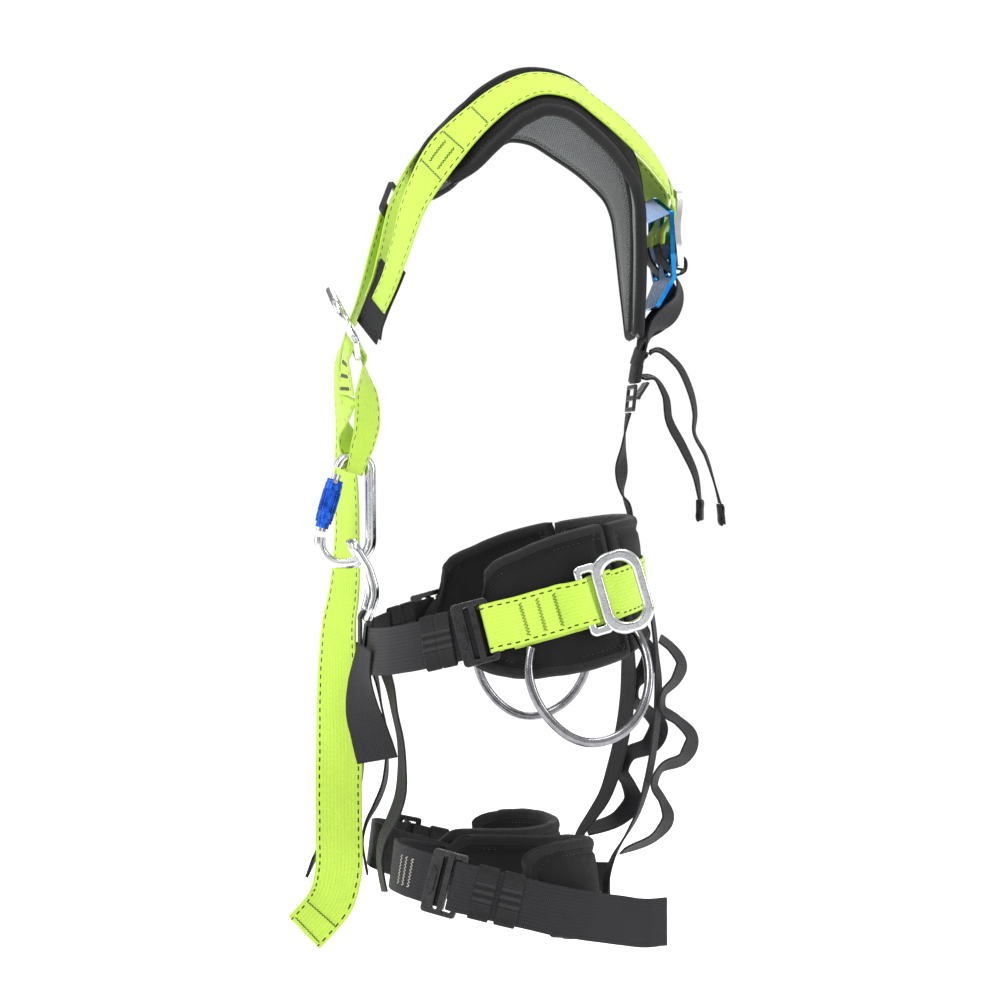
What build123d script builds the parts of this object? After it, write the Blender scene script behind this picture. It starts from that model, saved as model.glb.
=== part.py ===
"""Full-body tree climbing harness (saddle), in the shape it takes when worn.

Units are millimetres. +Z is up, -Y is the wearer's front and +X is the wearer's left.
The origin is the centre of the waist belt. Webbing and padding are ribbons: a route of
rows (x, y, z, outward x, y, z, width) is smoothed, and a flat section is lofted along it.
"""

import os
from math import copysign, cos, dist, radians, sin

from build123d import *

# Webbing and padding
WEB = 2.0  # thickness of every webbing
WIDE = 45.0  # main load webbing
MEDIUM = 30.0  # rear straps
SLIM = 25.0  # risers and loops
NARROW = 15.0  # free adjuster tails
PAD = 10.0  # waist and leg padding
YOKE_PAD = 9.0  # shoulder padding
PAD_OUT = -7.2  # the middle of a pad, outward from the middle of the webbing on it
SECOND = 2.6  # the middle of a second layer of webbing, outward from the first

# Hoops, on the middle of the webbing: half sizes, centre, height, rise to the back, squareness
WAIST = ((166.0, 130.0), (0.0, 2.0), 0.0, 0.27, 2.8)
THIGH = ((84.0, 97.0), (101.0, -16.0), -255.0, -0.25, 2.3)
LEAN = 0.12  # how far a hoop's outer face looks upward

# Metal
FORGED = 6.5  # thickness of the forged D-rings
RING_ROD = 4.0  # radius of the ventral ring's rod
HOOK_ROD = 5.2  # radius of the carabiner's rod
TUBE = 4.2  # radius of the gear loop's tube
FRAME = (34.0, 58.0, 4.0)  # a strap buckle's length, height and thickness
PLATE = 4.0  # thickness of the dorsal plate
SLOT = 48.0  # length of every slot for 45 mm webbing
RIDE = 3.4  # the middle of a buckle frame, outward from the webbing under it

# Where the hardware sits, in degrees round its hoop (0 is the wearer's left, 90 the back)
WAIST_BUCKLE = -13.9
WAIST_KEEPER = -30.0
SIDE_D = 15.7
LEG_BUCKLE = -33.0


# ---------------------------------------------------------------- routes


def oval(hoop, angle, out, up, width):
    """The row at that angle round a tilted oval hoop."""
    half, centre, level, rise, power = hoop
    c, s = cos(radians(angle)), sin(radians(angle))
    x = half[0] * copysign(abs(c) ** (2 / power), c)
    y = half[1] * copysign(abs(s) ** (2 / power), s)
    nx = copysign((abs(x) / half[0]) ** (power - 1), x) / half[0]
    ny = copysign((abs(y) / half[1]) ** (power - 1), y) / half[1]
    size = (nx * nx + ny * ny) ** 0.5
    nx, ny = nx / size, ny / size
    out = out - LEAN * up
    x, y = centre[0] + x + nx * out, centre[1] + y + ny * out
    return (x, y, level + rise * y + up, nx, ny, LEAN, width)


def waist(angle, out=0.0, up=0.0, width=WIDE):
    """A row on the waist hoop."""
    return oval(WAIST, angle, out, up, width)


def thigh(angle, out=0.0, up=0.0, width=WIDE):
    """A row on the left thigh hoop."""
    return oval(THIGH, angle, out, up, width)


def beside(hoop, angle, shift, out=0.0, up=0.0, width=WIDE):
    """The row that many millimetres further round the hoop than the angle."""
    per_degree = dist(hoop(angle + 0.5)[:3], hoop(angle - 0.5)[:3])
    return hoop(angle + shift / per_degree, out, up, width)


def seat(hoop, angle, out=0.0, up=0.0):
    """A plane lying on the hoop: x runs round it, y up and z outward."""
    row = hoop(angle, out, up)
    normal = Vector(*row[3:6]).normalized()
    round_it = Vector(*hoop(angle + 0.5)[:3]) - Vector(*hoop(angle - 0.5)[:3])
    round_it = round_it - normal * round_it.dot(normal)
    return Plane(origin=row[:3], x_dir=round_it, z_dir=normal)


def tilted(place, degrees):
    """The plane turned about its own y axis, its x axis swinging towards its z axis."""
    c, s = cos(radians(degrees)), sin(radians(degrees))
    return Plane(place.origin, x_dir=place.x_dir * c + place.z_dir * s, z_dir=place.z_dir * c - place.x_dir * s)


def flat(place, shift, out, turn=90.0, side=-1):
    """A row on a flat seat; turn is how far its outward side looks, 90 straight out."""
    spot = place.from_local_coords((shift, 0.0, out))
    look = place.z_dir * sin(radians(turn)) + place.x_dir * (side * cos(radians(turn)))
    return (spot.X, spot.Y, spot.Z, look.X, look.Y, look.Z, WIDE)


def fold_back(place, shift, low, high, side=-1):
    """Rows of a fold round a rail, from the layer at low to the one at high."""
    radius = (high - low) / 2
    rows = []
    for turn in (-90, -45, 0, 45, 90):
        along, rise = radius * cos(radians(turn)), radius * sin(radians(turn))
        rows.append(flat(place, shift + side * along, low + radius + rise, turn, side))
    return rows


def spread(shape, step):
    """Rows of a table (angle, ...) filled in so that none are more than step apart."""
    rows = [shape[0]]
    for a, b in zip(shape, shape[1:]):
        count = max(1, round(abs((b[0] - a[0]) / step)))
        for k in range(1, count + 1):
            rows.append(tuple(u + (v - u) * k / count for u, v in zip(a, b)))
    return rows


def of_width(width, rows):
    """The same rows, all of one width."""
    return [(*row[:6], width) for row in rows]


def moved_by(rows, x, y, z):
    """The rows moved."""
    return [(row[0] + x, row[1] + y, row[2] + z, *row[3:]) for row in rows]


def smooth(rows, spans):
    """Rows along a smooth curve through the given rows, spans of them per gap."""
    gaps = [max(dist(a[:3], b[:3]), 0.01) for a, b in zip(rows, rows[1:])]
    rates = [[(v - u) / g for u, v in zip(a, b)] for a, b, g in zip(rows, rows[1:], gaps)]
    slopes = [rates[0]]
    for i in range(1, len(rows) - 1):
        share = gaps[i - 1] / (gaps[i - 1] + gaps[i])
        slopes.append([a + (b - a) * share for a, b in zip(rates[i - 1], rates[i])])
    slopes.append(rates[-1])
    line = []
    for i, gap in enumerate(gaps):
        for k in range(spans):
            t = k / spans
            h = (2 * t**3 - 3 * t**2 + 1, (t**3 - 2 * t**2 + t) * gap)
            g = (3 * t**2 - 2 * t**3, (t**3 - t**2) * gap)
            ends = zip(rows[i], slopes[i], rows[i + 1], slopes[i + 1])
            line.append([h[0] * a + h[1] * m + g[0] * b + g[1] * n for a, m, b, n in ends])
    return [*line, list(rows[-1])]


def stations(rows, spans):
    """The plane and width of each section along the smoothed route."""
    line = smooth(rows, spans)
    for i, row in enumerate(line):
        before, after = line[max(i - 1, 0)], line[min(i + 1, len(line) - 1)]
        way = Vector(*after[:3]) - Vector(*before[:3])
        across = way.cross(Vector(*row[3:6]))
        yield Plane(origin=row[:3], x_dir=across, z_dir=way), row[6]


def ribbon(rows, thickness=WEB, spans=2):
    """One length of webbing or padding along a route."""
    with BuildPart() as made:
        for plane, width in stations(rows, spans):
            with BuildSketch(plane):
                Rectangle(width, thickness)
        loft(ruled=True)
    return made.part


def write(name, *solids):
    """Writes one node, of one or more separate solids."""
    node = solids[0] if len(solids) == 1 else Compound(children=list(solids))
    node.label = name
    export_step(node, f"parts/{name}.step")


def write_pair(name, *solids):
    """Writes a node for the wearer's left and its mirror image for the right."""
    write(f"{name}_left", *solids)
    write(f"{name}_right", *[mirror(solid, about=Plane.YZ) for solid in solids])


def write_both(name, *solids):
    """Writes one node that holds the pieces of the wearer's left and of the right."""
    write(name, *solids, *[mirror(solid, about=Plane.YZ) for solid in solids])


# ---------------------------------------------------------------- yoke and back

# Padded yoke: from the chest over the shoulder and down the back, mid thickness
SHOULDER_PAD = [
    (70, -66, 408, 0.72, -0.55, 0.40, 40),
    (73, -56, 423, 0.72, -0.50, 0.45, 60),
    (80, -30, 452, 0.62, -0.35, 0.70, 80),
    (84, -5, 474, 0.57, -0.18, 0.80, 86),
    (85, 20, 485, 0.55, 0.05, 0.83, 88),
    (84, 48, 482, 0.52, 0.30, 0.80, 86),
    (76, 76, 464, 0.48, 0.58, 0.66, 82),
    (60, 102, 440, 0.36, 0.80, 0.48, 78),
    (47, 120, 415, 0.25, 0.93, 0.25, 72),
    (40, 127, 390, 0.18, 0.97, 0.12, 66),
    (35, 129, 361, 0.15, 0.99, 0.0, 60),
    (28, 130, 318, 0.12, 0.99, 0.0, 48),
    (20, 130, 282, 0.08, 0.99, 0.0, 33),
    (15.5, 130, 262, 0.05, 1.0, 0.0, 25),
]
# Load webbing over the yoke: from the chest to behind the dorsal plate
SHOULDER_STRAP = of_width(
    WIDE,
    [
        (26, -119, 289, 0.50, -0.85, 0.10),
        (33, -110, 310, 0.56, -0.81, 0.15),
        (43, -101, 340, 0.62, -0.76, 0.20),
        (60, -88, 385, 0.68, -0.66, 0.30),
        (78, -65, 426, 0.72, -0.52, 0.43),
        (84.5, -34, 459, 0.62, -0.35, 0.70),
        (88, -6, 481, 0.57, -0.18, 0.80),
        (89.5, 20.5, 492, 0.55, 0.05, 0.83),
        (88, 51, 489, 0.52, 0.30, 0.80),
        (80, 81.5, 470.5, 0.48, 0.58, 0.66),
        (66, 112, 449, 0.42, 0.75, 0.48),
        (52, 138.5, 425, 0.30, 0.88, 0.32),
        (39, 156, 402, 0.12, 0.98, 0.05),
        (31, 161.7, 386, 0.04, 0.95, -0.30),
        (28.5, 157.6, 371, 0.0, 0.80, -0.60),
        (28, 150.3, 360, 0.0, 0.84, -0.54),
        (28, 148.8, 349, 0.0, 1.0, 0.0),
    ],
)
# On the left the webbing lies flatter on the chest
SHOULDER_STRAP_LEFT = of_width(
    WIDE,
    [
        (26, -119, 289, 0.24, -0.95, 0.20),
        (33, -110, 310, 0.27, -0.93, 0.24),
        (43, -101, 340, 0.36, -0.88, 0.30),
        (60, -88, 385, 0.52, -0.76, 0.37),
        *[row[:6] for row in SHOULDER_STRAP[4:]],
    ],
)
# Rear straps: out through the dorsal plate's lower slots and down to the back buckle
BACK_STRAP = of_width(
    MEDIUM,
    [
        (28, 145.6, 349, 0.0, 1.0, 0.0),
        (28, 149, 337.5, 0.0, 0.85, 0.50),
        (28, 157.4, 326.5, 0.0, 0.77, 0.64),
        (27, 165, 316.5, 0.20, 0.90, 0.35),
        (24.5, 168, 303, 0.45, 0.88, 0.10),
        (18.5, 161.5, 287, 0.72, 0.68, -0.10),
        (11, 148, 270, 0.60, 0.80, -0.10),
        (4, 139, 255, 0.20, 0.98, 0.0),
        (0, 133.5, 243, 0.0, 1.0, -0.1),
        (0, 131, 228, 0.0, 1.0, -0.1),
        (0, 129.6, 218.5, 0.0, 1.0, -0.1),
    ],
)
BACK_RISER = of_width(
    SLIM,
    [
        (0, 124, 190, 0.0, 1.0, 0.0),
        (0, 121.5, 178, 0.1, 1.0, 0.0),
        (0, 119, 158, 0.3, 0.95, 0.0),
        (0, 117, 134, 0.6, 0.8, 0.0),
        (0, 118.5, 112, 0.2, 0.98, 0.1),
        (0, 122.5, 104, 0.0, 1.0, 0.3),
        (0, 124.9, 96, 0.0, 0.99, 0.12),
        (0, 126, 86, 0.0, 0.99, 0.12),
        (0, 127.8, 70, 0.0, 0.99, 0.12),
    ],
)
BACK_TAIL_LEFT = of_width(
    NARROW,
    [
        (9, 137, 243, 0.3, 0.9, 0.3),
        (14, 148, 250, 0.4, 0.5, 0.8),
        (17, 166, 238, 0.5, 0.7, 0.5),
        (18, 180, 212, 0.5, 0.8, 0.2),
        (18, 185, 188, 0.4, 0.9, 0.0),
        (18, 184, 172, 0.3, 0.9, 0.2),
        (18, 195, 150, 0.3, 0.8, 0.4),
        (18, 203, 126, 0.2, 0.9, 0.1),
        (18, 209, 104, 0.1, 0.9, 0.1),
    ],
)
BACK_TAIL_RIGHT = of_width(
    NARROW,
    [
        (-9, 137, 224, -0.2, 0.9, 0.3),
        (-12, 149, 225, 0.2, 0.5, 0.8),
        (-14, 162, 208, 0.5, 0.7, 0.5),
        (-14, 166, 184, 0.6, 0.8, 0.1),
        (-14, 180, 157, 0.6, 0.6, 0.4),
        (-14, 192, 130, 0.5, 0.8, 0.2),
        (-14, 196, 108, 0.3, 0.9, 0.0),
    ],
)
# Middle of the dorsal plate from its top edge to its bottom edge, in (y, z)
DORSAL_BENDS = [(140, 392), (155.3, 377), (156, 338), (159, 317), (145, 289)]
DORSAL_HALF_WIDTHS = [44, 57, 57, 50, 34]
DORSAL_SLOTS = [(28.5, 368.0, SLOT, 16.0), (28.0, 326.5, 34.0, 16.0)]
DORSAL_EYE = [(171.5, 325), (169.5, 334), (166.3, 350), (165.5, 370), (168, 390), (168.8, 406)]
# The loop that holds the eye's lower bar against the plate
DORSAL_LOOP = of_width(
    24.0,
    [
        (0, 159.4, 362, 0, 1, 0),
        (0, 159.9, 352, 0, 1, 0.1),
        (0, 161.8, 343.5, 0, 0.8, 0.6),
        (0, 166.5, 339.8, 0, 0.3, 0.95),
        (0, 172.5, 339.6, 0, 0.1, 1),
        (0, 177, 337, 0, 0.8, 0.6),
        (0, 178.3, 331, 0, 1, 0),
        (0, 177, 325.5, 0, 0.8, -0.6),
        (0, 172, 322.3, 0, 0.1, -1),
        (0, 166.5, 321.8, 0, -0.1, -1),
        (0, 162.3, 320, 0, 0.5, -0.9),
    ],
)


# ---------------------------------------------------------------- chest

CHEST_SLEEVE = of_width(
    WIDE,
    [
        (37.0, -101.0, 327, 0.59, -0.78, 0.17),
        (30.8, -107.2, 309.6, 0.56, -0.81, 0.15),
        (24.2, -116.0, 288.7, 0.55, -0.82, 0.10),
        (19, -121.5, 276, 0.55, -0.83, 0.05),
        (15, -125.5, 266, 0.55, -0.83, 0.0),
    ],
)
CHEST_SLEEVE_LEFT = of_width(
    WIDE,
    [
        (36.0, -101.5, 327, 0.32, -0.91, 0.25),
        (30.0, -107.5, 309.6, 0.28, -0.93, 0.22),
        (23.6, -116.0, 288.7, 0.26, -0.94, 0.18),
        (18.5, -121.5, 276, 0.30, -0.93, 0.10),
        (15, -125.5, 266, 0.40, -0.90, 0.0),
    ],
)
CHEST_TAIL = of_width(
    WIDE,
    [
        (-61, -96.5, 377, -0.65, -0.70, 0.25),
        (-56, -106, 346, -0.62, -0.74, 0.20),
        (-54.5, -116, 318, -0.50, -0.82, 0.20),
        (-54, -128, 292, -0.30, -0.90, 0.30),
        (-54, -140, 268, -0.15, -0.92, 0.35),
        (-53, -148.5, 245, 0.0, -1.0, 0.15),
        (-51, -150.5, 222, 0.0, -1.0, 0.0),
        (-50, -146, 180, 0.15, -1.0, 0.0),
        (-51, -142, 126, 0.40, -0.92, 0.0),
        (-52, -141, 66, 0.45, -0.90, 0.0),
        (-50, -145, 12, 0.60, -0.80, 0.0),
        (-46, -149, -8, 0.66, -0.75, 0.0),
        (-36, -151.5, -42, 0.75, -0.65, 0.0),
        (-24, -152, -88, 0.88, -0.45, 0.0),
        (-14, -152, -129, 0.97, -0.25, 0.0),
        (-8, -153, -169, 1.0, 0.0, 0.0),
        (-4, -153, -211, 1.0, 0.0, 0.0),
        (0, -154, -245, 1.0, -0.1, 0.0),
        (2, -161, -270, 0.98, -0.1, -0.2),
        (4, -175, -288, 0.95, -0.1, -0.3),
        (6, -187, -300, 0.9, -0.1, -0.3),
    ],
)
STERNAL_BASE = (6.0, -139.5, 250.0)
STERNAL_ROLL = 20.0  # the left side hangs lower


def sternal_seat():
    """The plane of the sternal D's base: x runs up it, y across, z forward."""
    roll = radians(STERNAL_ROLL)
    up_the_eye = Vector(sin(roll), -0.10 * cos(roll), cos(roll))
    return Plane(STERNAL_BASE, x_dir=up_the_eye, z_dir=(0.0, -1.0, -0.10))


def sternal_strap_rows():
    """Down the front leg, under the carabiner's top, up the back leg, over the D's bar."""
    front = [
        (-3, -143.5, 205, 0.25, -0.97, 0.0, 43),
        (-7, -146, 181, -0.1, -1.0, 0.0, 40),
        (-9.5, -144, 162, -0.8, -0.6, 0.0, 26),
        (-10, -139, 149, -1.0, -0.1, 0.0, 20),
        (-7, -139, 137, -0.7, -0.1, -0.7, 18),
        (0, -139.5, 132.6, 0.0, -0.3, -1.0, 18),
    ]
    back = [
        (7, -138, 137, 0.7, -0.1, -0.7, 18),
        (10, -135, 149, 1.0, 0.0, 0.1, 20),
        (9, -130, 166, 0.85, 0.5, 0.0, 28),
        (5, -127, 186, 0.65, 0.75, 0.0, 42),
        (3, -127.5, 206, 0.55, 0.83, 0.0, 45),
        (3, -130.0, 228, 0.20, 0.97, -0.05, 45),
    ]
    sewn = [(2, -147.4, 230, 0.10, -0.99, 0.0, 45), (0, -146.6, 206, 0.22, -0.97, 0.0, 45)]
    return front + back + fold_back(tilted(sternal_seat(), 4), -0.3, -6.7, 6.7, 1) + sewn


# ---------------------------------------------------------------- waist


def waist_pad_rows():
    """Left side pad: rounded front end, square at the seam behind."""
    shape = ((-17.6, 12, 22), (-15.4, 8, 52), (-12.6, 5, 74), (-9.5, 3, 88), (-5.5, 2, 102))
    shape += ((-1.5, 2, 113), (4, 2, 122), (12, 2, 126), (22, 2, 126), (32, 2, 125), (36, 2, 123))
    return [waist(angle, PAD_OUT, up, width) for angle, up, width in spread(shape, 3)]


def lumbar_pad_rows():
    """Back pad, between the two side pads."""
    shape = ((37, 121), (48, 119), (60, 117), (75, 116), (90, 116))
    shape += tuple((180 - angle, width) for angle, width in shape[-2::-1])
    return [waist(angle, PAD_OUT, 2, width) for angle, width in spread(shape, 5)]


def back_webbing_rows():
    """Under layer of the belt, from one front fold round the back to the other."""
    return [waist(angle, 0, -2) for (angle,) in spread(((-3.5,), (36,), (90,), (144,), (183.5,)), 4)]


def waist_webbing_rows():
    """Folded round the buckle's rear rail, then over the under layer and through the D."""
    place = seat(waist, WAIST_BUCKLE)
    rows = [flat(place, 21, -0.5, -90), *fold_back(place, 13.4, -0.3, 7.1)]
    rows += [flat(place, 17, 7.0), flat(place, 20, 6.8)]
    rows += [beside(waist, WAIST_BUCKLE, 30, SECOND + 1.4)]
    rows += [waist(1, SECOND), waist(5, SECOND), waist(9, SECOND)]
    for shift, out, width in (
        (-14, 3.8, 44),
        (-6.5, 9.8, 43),
        (0, 10.4, 43),
        (5, 8.2, 43),
        (9.6, 2.9, 44),
        (18, SECOND, 45),
    ):
        rows.append(beside(waist, SIDE_D, shift, out, width=width))
    return rows + [waist(27, SECOND), waist(31, SECOND)]


def waist_strap_rows():
    """Black strap from under the buckle round to the front."""
    place = seat(waist, WAIST_BUCKLE)
    angles = [angle for (angle,) in spread(((-23,), (-88.6,)), -4)]
    return [flat(place, 6, 0), flat(place, -16, 0), *map(waist, angles)]


WAIST_TAIL_LEFT = of_width(
    WIDE,
    [
        (42, -133, -30, 0.20, -0.97, 0.1),
        (40, -136, -50, 0.30, -0.95, 0.1),
        (37, -136.5, -67, 0.45, -0.90, 0.0),
        (34, -134, -90, 0.65, -0.75, 0.0),
        (31, -127, -113, 0.75, -0.65, 0.0),
        (29, -120, -137, 0.80, -0.60, 0.0),
    ],
)
WAIST_TAIL_RIGHT = [
    (-64, -130.5, -30, -0.25, -0.97, 0.1, 45),
    (-64, -133.5, -50, -0.25, -0.97, 0.1, 45),
    (-62, -134, -75, -0.25, -0.97, 0.0, 45),
    (-60, -131, -115, -0.3, -0.95, 0.0, 45),
    (-58, -131, -165, -0.3, -0.95, 0.1, 45),
    (-56, -146, -200, -0.3, -0.85, 0.4, 45),
    (-52, -166, -224, -0.2, -0.85, 0.4, 45),
    (-50, -180, -254, -0.1, -0.95, 0.2, 45),
]
VENTRAL_BAR = (0.0, -128.0, -4.0)
VENTRAL_LOOP = of_width(
    SLIM,
    [
        (0, -127.4, -56, 0, 1, 0),
        (0, -124.8, -34, 0, 1, 0),
        (0, -122.4, -10, 0, 1, 0),
        (0, -122.8, -2, 0, 0.9, 0.4),
        (0, -125, 1.0, 0, 0.5, 0.8),
        (0, -128, 2.0, 0, 0, 1),
        (0, -131, 1.0, 0, -0.5, 0.8),
        (0, -133.2, -2, 0, -0.9, 0.4),
        (0, -133.4, -10, 0, -1, 0),
        (0, -133.6, -34, 0, -1, 0),
        (0, -134.2, -56, 0, -1, 0),
    ],
)
GEAR_LOOP = [
    (173, 4, -26),
    (180, 2, -56),
    (187, 18, -89),
    (190, 50, -110),
    (187, 82, -104),
    (176, 107, -76),
    (162, 113, -42),
    (146, 104, -12),
]


# ---------------------------------------------------------------- legs


def leg_pad_rows():
    """Left thigh pad, open at the front, rounded at both ends."""
    shape = ((8, 4, 30), (12, 8, 62), (18, 14, 80), (28, 18, 86), (45, 22, 90), (65, 24, 92))
    shape += ((90, 24, 92), (120, 20, 90), (150, 12, 86), (175, 6, 80), (195, 3, 66), (206, 0, 34))
    return [thigh(angle, PAD_OUT, up, width) for angle, up, width in spread(shape, 6)]


def leg_strap_rows():
    """The thigh hoop's webbing, both ends under the buckle."""
    angles = [angle for (angle,) in spread(((-22,), (314,)), 6)]
    place = seat(thigh, LEG_BUCKLE)
    return [flat(place, 7, 0), *map(thigh, angles), flat(place, -16, 0), flat(place, -2, 0)]


def leg_tail_rows():
    """Out over the buckle's rear rail, back along the strap, then free behind."""
    place = seat(thigh, LEG_BUCKLE)
    rise = ((6.4, 2.4), (7.6, 4.6), (9.6, 6.6), (12.5, 7.0), (18, 7.0))
    rows = [flat(place, shift, out) for shift, out in rise]
    rows += [beside(thigh, LEG_BUCKLE, 24, SECOND + 2.6), beside(thigh, LEG_BUCKLE, 30, SECOND)]
    rows += [thigh(angle, SECOND) for angle in (-10, -5, 0, 5)]
    free = (
        (187.5, 22, -260.5, 1.0, 0.05, 0.05),
        (183, 50, -266, 0.96, 0.25, 0.05),
        (172, 82, -272, 0.92, 0.38, 0.05),
        (160, 112, -277, 0.93, 0.36, 0.0),
        (150, 132, -277, 0.86, 0.50, 0.0),
    )
    return rows + of_width(WIDE, free)


FRONT_RISER = of_width(
    SLIM,
    [
        (60, -118.6, -22, 0.3, -0.95, 0.0),
        (60, -117.6, -44, 0.3, -0.95, 0.0),
        (60, -111, -68, 0.2, -0.97, -0.1),
        (60, -107, -90, 0.1, -1.0, -0.1),
        (62, -102, -115, 0.1, -1.0, 0.0),
        (67, -101, -142, 0.2, -1.0, 0.0),
        (71, -103, -166, 0.3, -0.95, 0.1),
        (75, -111, -188, 0.3, -0.9, 0.3),
        (77, -120, -206, 0.2, -0.95, 0.2),
        (78, -123, -224, 0.1, -1.0, 0.0),
        (79, -121, -242, 0.1, -1.0, -0.1),
        (80, -118.5, -254, 0.1, -0.95, -0.2),
    ],
)
REAR_RISER = of_width(
    SLIM,
    [
        (74, 131.5, 8, 0.3, 0.95, 0.1),
        (75, 134.5, -12, 0.3, 0.95, 0.1),
        (75, 136.5, -32, 0.3, 0.95, 0.0),
        (78, 138, -60, 0.4, 0.9, 0.0),
        (80, 137, -88, 0.4, 0.9, 0.0),
        (84, 133, -121, 0.4, 0.9, -0.1),
        (88, 126, -154, 0.4, 0.9, -0.2),
        (91, 116, -184, 0.3, 0.9, -0.3),
        (95, 104, -204, 0.2, 0.9, -0.4),
        (98, 93, -221, 0.1, 0.9, -0.4),
        (100, 86.5, -238, 0.0, 1.0, -0.2),
        (100, 84.2, -256, 0.0, 1.0, 0.0),
        (100, 84.0, -276, 0.0, 1.0, 0.0),
    ],
)
REAR_LOOPS = of_width(
    SLIM,
    [
        (76, 140, -22, 0.3, 0.95, 0.1),
        (77, 151, -31, 0.4, 0.6, 0.7),
        (79, 160, -46, 0.5, 0.8, 0.2),
        (80, 154, -61, 0.5, 0.5, -0.7),
        (80, 142.5, -74, 0.4, 0.9, -0.3),
        (81, 142, -88, 0.4, 0.9, 0.1),
        (83, 155, -98, 0.4, 0.6, 0.7),
        (84, 169, -115, 0.6, 0.8, 0.2),
        (85, 161, -133, 0.6, 0.4, -0.7),
        (86, 139, -143, 0.4, 0.8, -0.5),
        (88, 132.5, -158, 0.4, 0.9, 0.1),
        (89, 140, -172, 0.4, 0.8, 0.5),
        (91, 145, -188, 0.6, 0.8, -0.1),
        (94, 133, -204, 0.5, 0.5, -0.7),
        (96, 115, -207, 0.2, 0.6, -0.8),
        (99, 100, -218, 0.1, 0.9, -0.4),
    ],
)


# ---------------------------------------------------------------- hardware


def soft_plate(outline, holes, thickness, edge):
    """A flat plate in the XY plane with rounded edges. Sizes are (x, y, length, height, corner)."""
    with BuildPart() as plate:
        with BuildSketch():
            with Locations(outline[:2]):
                RectangleRounded(*outline[2:])
            for hole in holes:
                with Locations(hole[:2]):
                    RectangleRounded(*hole[2:], mode=Mode.SUBTRACT)
        extrude(amount=thickness / 2, both=True)
        flats = plate.faces().filter_by(Axis.Z)
        fillet(flats.edges(), edge)
    return plate.part


def forged_d(place, lift, bend):
    """A forged D: slotted base that the webbing weaves through, and an eye bent outward."""
    base = soft_plate((8, 0, 23, 66, 6), [(8, 0, 9, 50, 2)], 6.0, 2.4)
    eye = soft_plate((20, 0, 48, 76, 20), [(20.5, 0, 28, 56, 13)], FORGED, 2.8)
    base_plane = tilted(place, lift)
    eye_plane = tilted(base_plane, bend)
    eye_plane.origin = base_plane.from_local_coords((15.5, 0, 0))
    with BuildPart() as ring:
        add(base.moved(base_plane.location))
        add(eye.moved(eye_plane.location))
    return ring.part


def strap_buckle(place):
    """An adjuster frame: a wide front plate with a raised lozenge, and a rear rail."""
    length, height, thickness = FRAME
    frame = soft_plate((0, 0, length, height, 4), [(3, 0, 18, SLOT, 1.5)], thickness, 1.0)
    with BuildPart() as buckle:
        add(frame)
        with BuildSketch(Plane.XY.offset(thickness / 2 - 0.2)):
            with Locations((-11.5, 0)):
                Polygon((-4, -9), (-1, -14), (3.5, -9), (3.5, 9), (-1, 14), (-4, 9))
        extrude(amount=1.4, taper=25)
    return buckle.part.moved(place.location)


def buckle_bar(place):
    """The sliding bar that grips the strap, with its ends riding on the frame."""
    with BuildPart() as bar:
        with Locations((1.8, 0, 0)):
            Box(5.6, SLOT - 1.2, 3.0)
        with Locations((1.8, 0, FRAME[2] / 2 + 1.1)):
            Box(5.6, FRAME[1] - 3, 1.6)
        with Locations((1.8, 0, FRAME[2] / 2 + 0.1)):
            Box(5.6, SLOT - 2.0, 2.0)
        fillet(bar.edges().filter_by(Axis.Y).group_by(Axis.Z)[-1], 0.6)
    return bar.part.moved(place.location)


def keeper(place, inside, length, wall=1.2):
    """A band round the straps: inside height and thickness."""
    with BuildPart() as band:
        with BuildSketch(Plane.YZ.offset(-length / 2)):
            RectangleRounded(inside[0] + 2 * wall, inside[1] + 2 * wall, 1.5)
            Rectangle(*inside, mode=Mode.SUBTRACT)
        extrude(amount=length)
    return band.part.moved(place.location)


def keeper_on(rows, index, inside, length, wall=1.2):
    """A keeper round a free ribbon at one of its rows."""
    way = Vector(*rows[index + 1][:3]) - Vector(*rows[index - 1][:3])
    normal = Vector(*rows[index][3:6])
    normal = normal - way * (normal.dot(way) / way.dot(way))
    return keeper(Plane(rows[index][:3], x_dir=way, z_dir=normal), inside, length, wall)


def tube(points, radius):
    """A bent rod or tube, solid, along a smooth curve."""
    with BuildPart() as rod:
        with BuildLine() as path:
            Spline(*points)
        with BuildSketch(Plane(path.line @ 0, z_dir=path.line % 0)):
            Circle(radius)
        sweep()
    return rod.part


def dorsal_plate():
    """The bent back plate with two upper and two lower slots."""
    with BuildPart() as plate:
        with BuildSketch(Plane.YZ):
            with BuildLine():
                Polyline(*DORSAL_BENDS)
            trace(line_width=PLATE)
        extrude(amount=max(DORSAL_HALF_WIDTHS), both=True)
        with BuildSketch(Plane.XZ.offset(-100)) as outline:
            left = [(-w, z) for w, (y, z) in zip(DORSAL_HALF_WIDTHS, DORSAL_BENDS)]
            right = [(-x, z) for x, z in reversed(left)]
            Polygon(*left, *right, align=None)
            fillet(outline.vertices(), 6)
            for x, z, length, height in DORSAL_SLOTS:
                with Locations((x, z), (-x, z)):
                    SlotOverall(length, height, mode=Mode.SUBTRACT)
        extrude(amount=-120, mode=Mode.INTERSECT)
    return plate.part


def dorsal_eye():
    """The back attachment eye: an S-bent ring with its bar at the bottom."""
    with BuildPart() as ring:
        with BuildSketch(Plane.YZ):
            with BuildLine():
                Spline(*DORSAL_EYE)
            trace(line_width=5.4)
        extrude(amount=36, both=True)
        with BuildSketch(Plane.XZ.offset(-100)):
            with Locations((0, 365)):
                RectangleRounded(68, 77, 24)
            with Locations((0, 366)):
                RectangleRounded(49, 60, 17, mode=Mode.SUBTRACT)
        extrude(amount=-120, mode=Mode.INTERSECT)
    return ring.part


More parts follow.
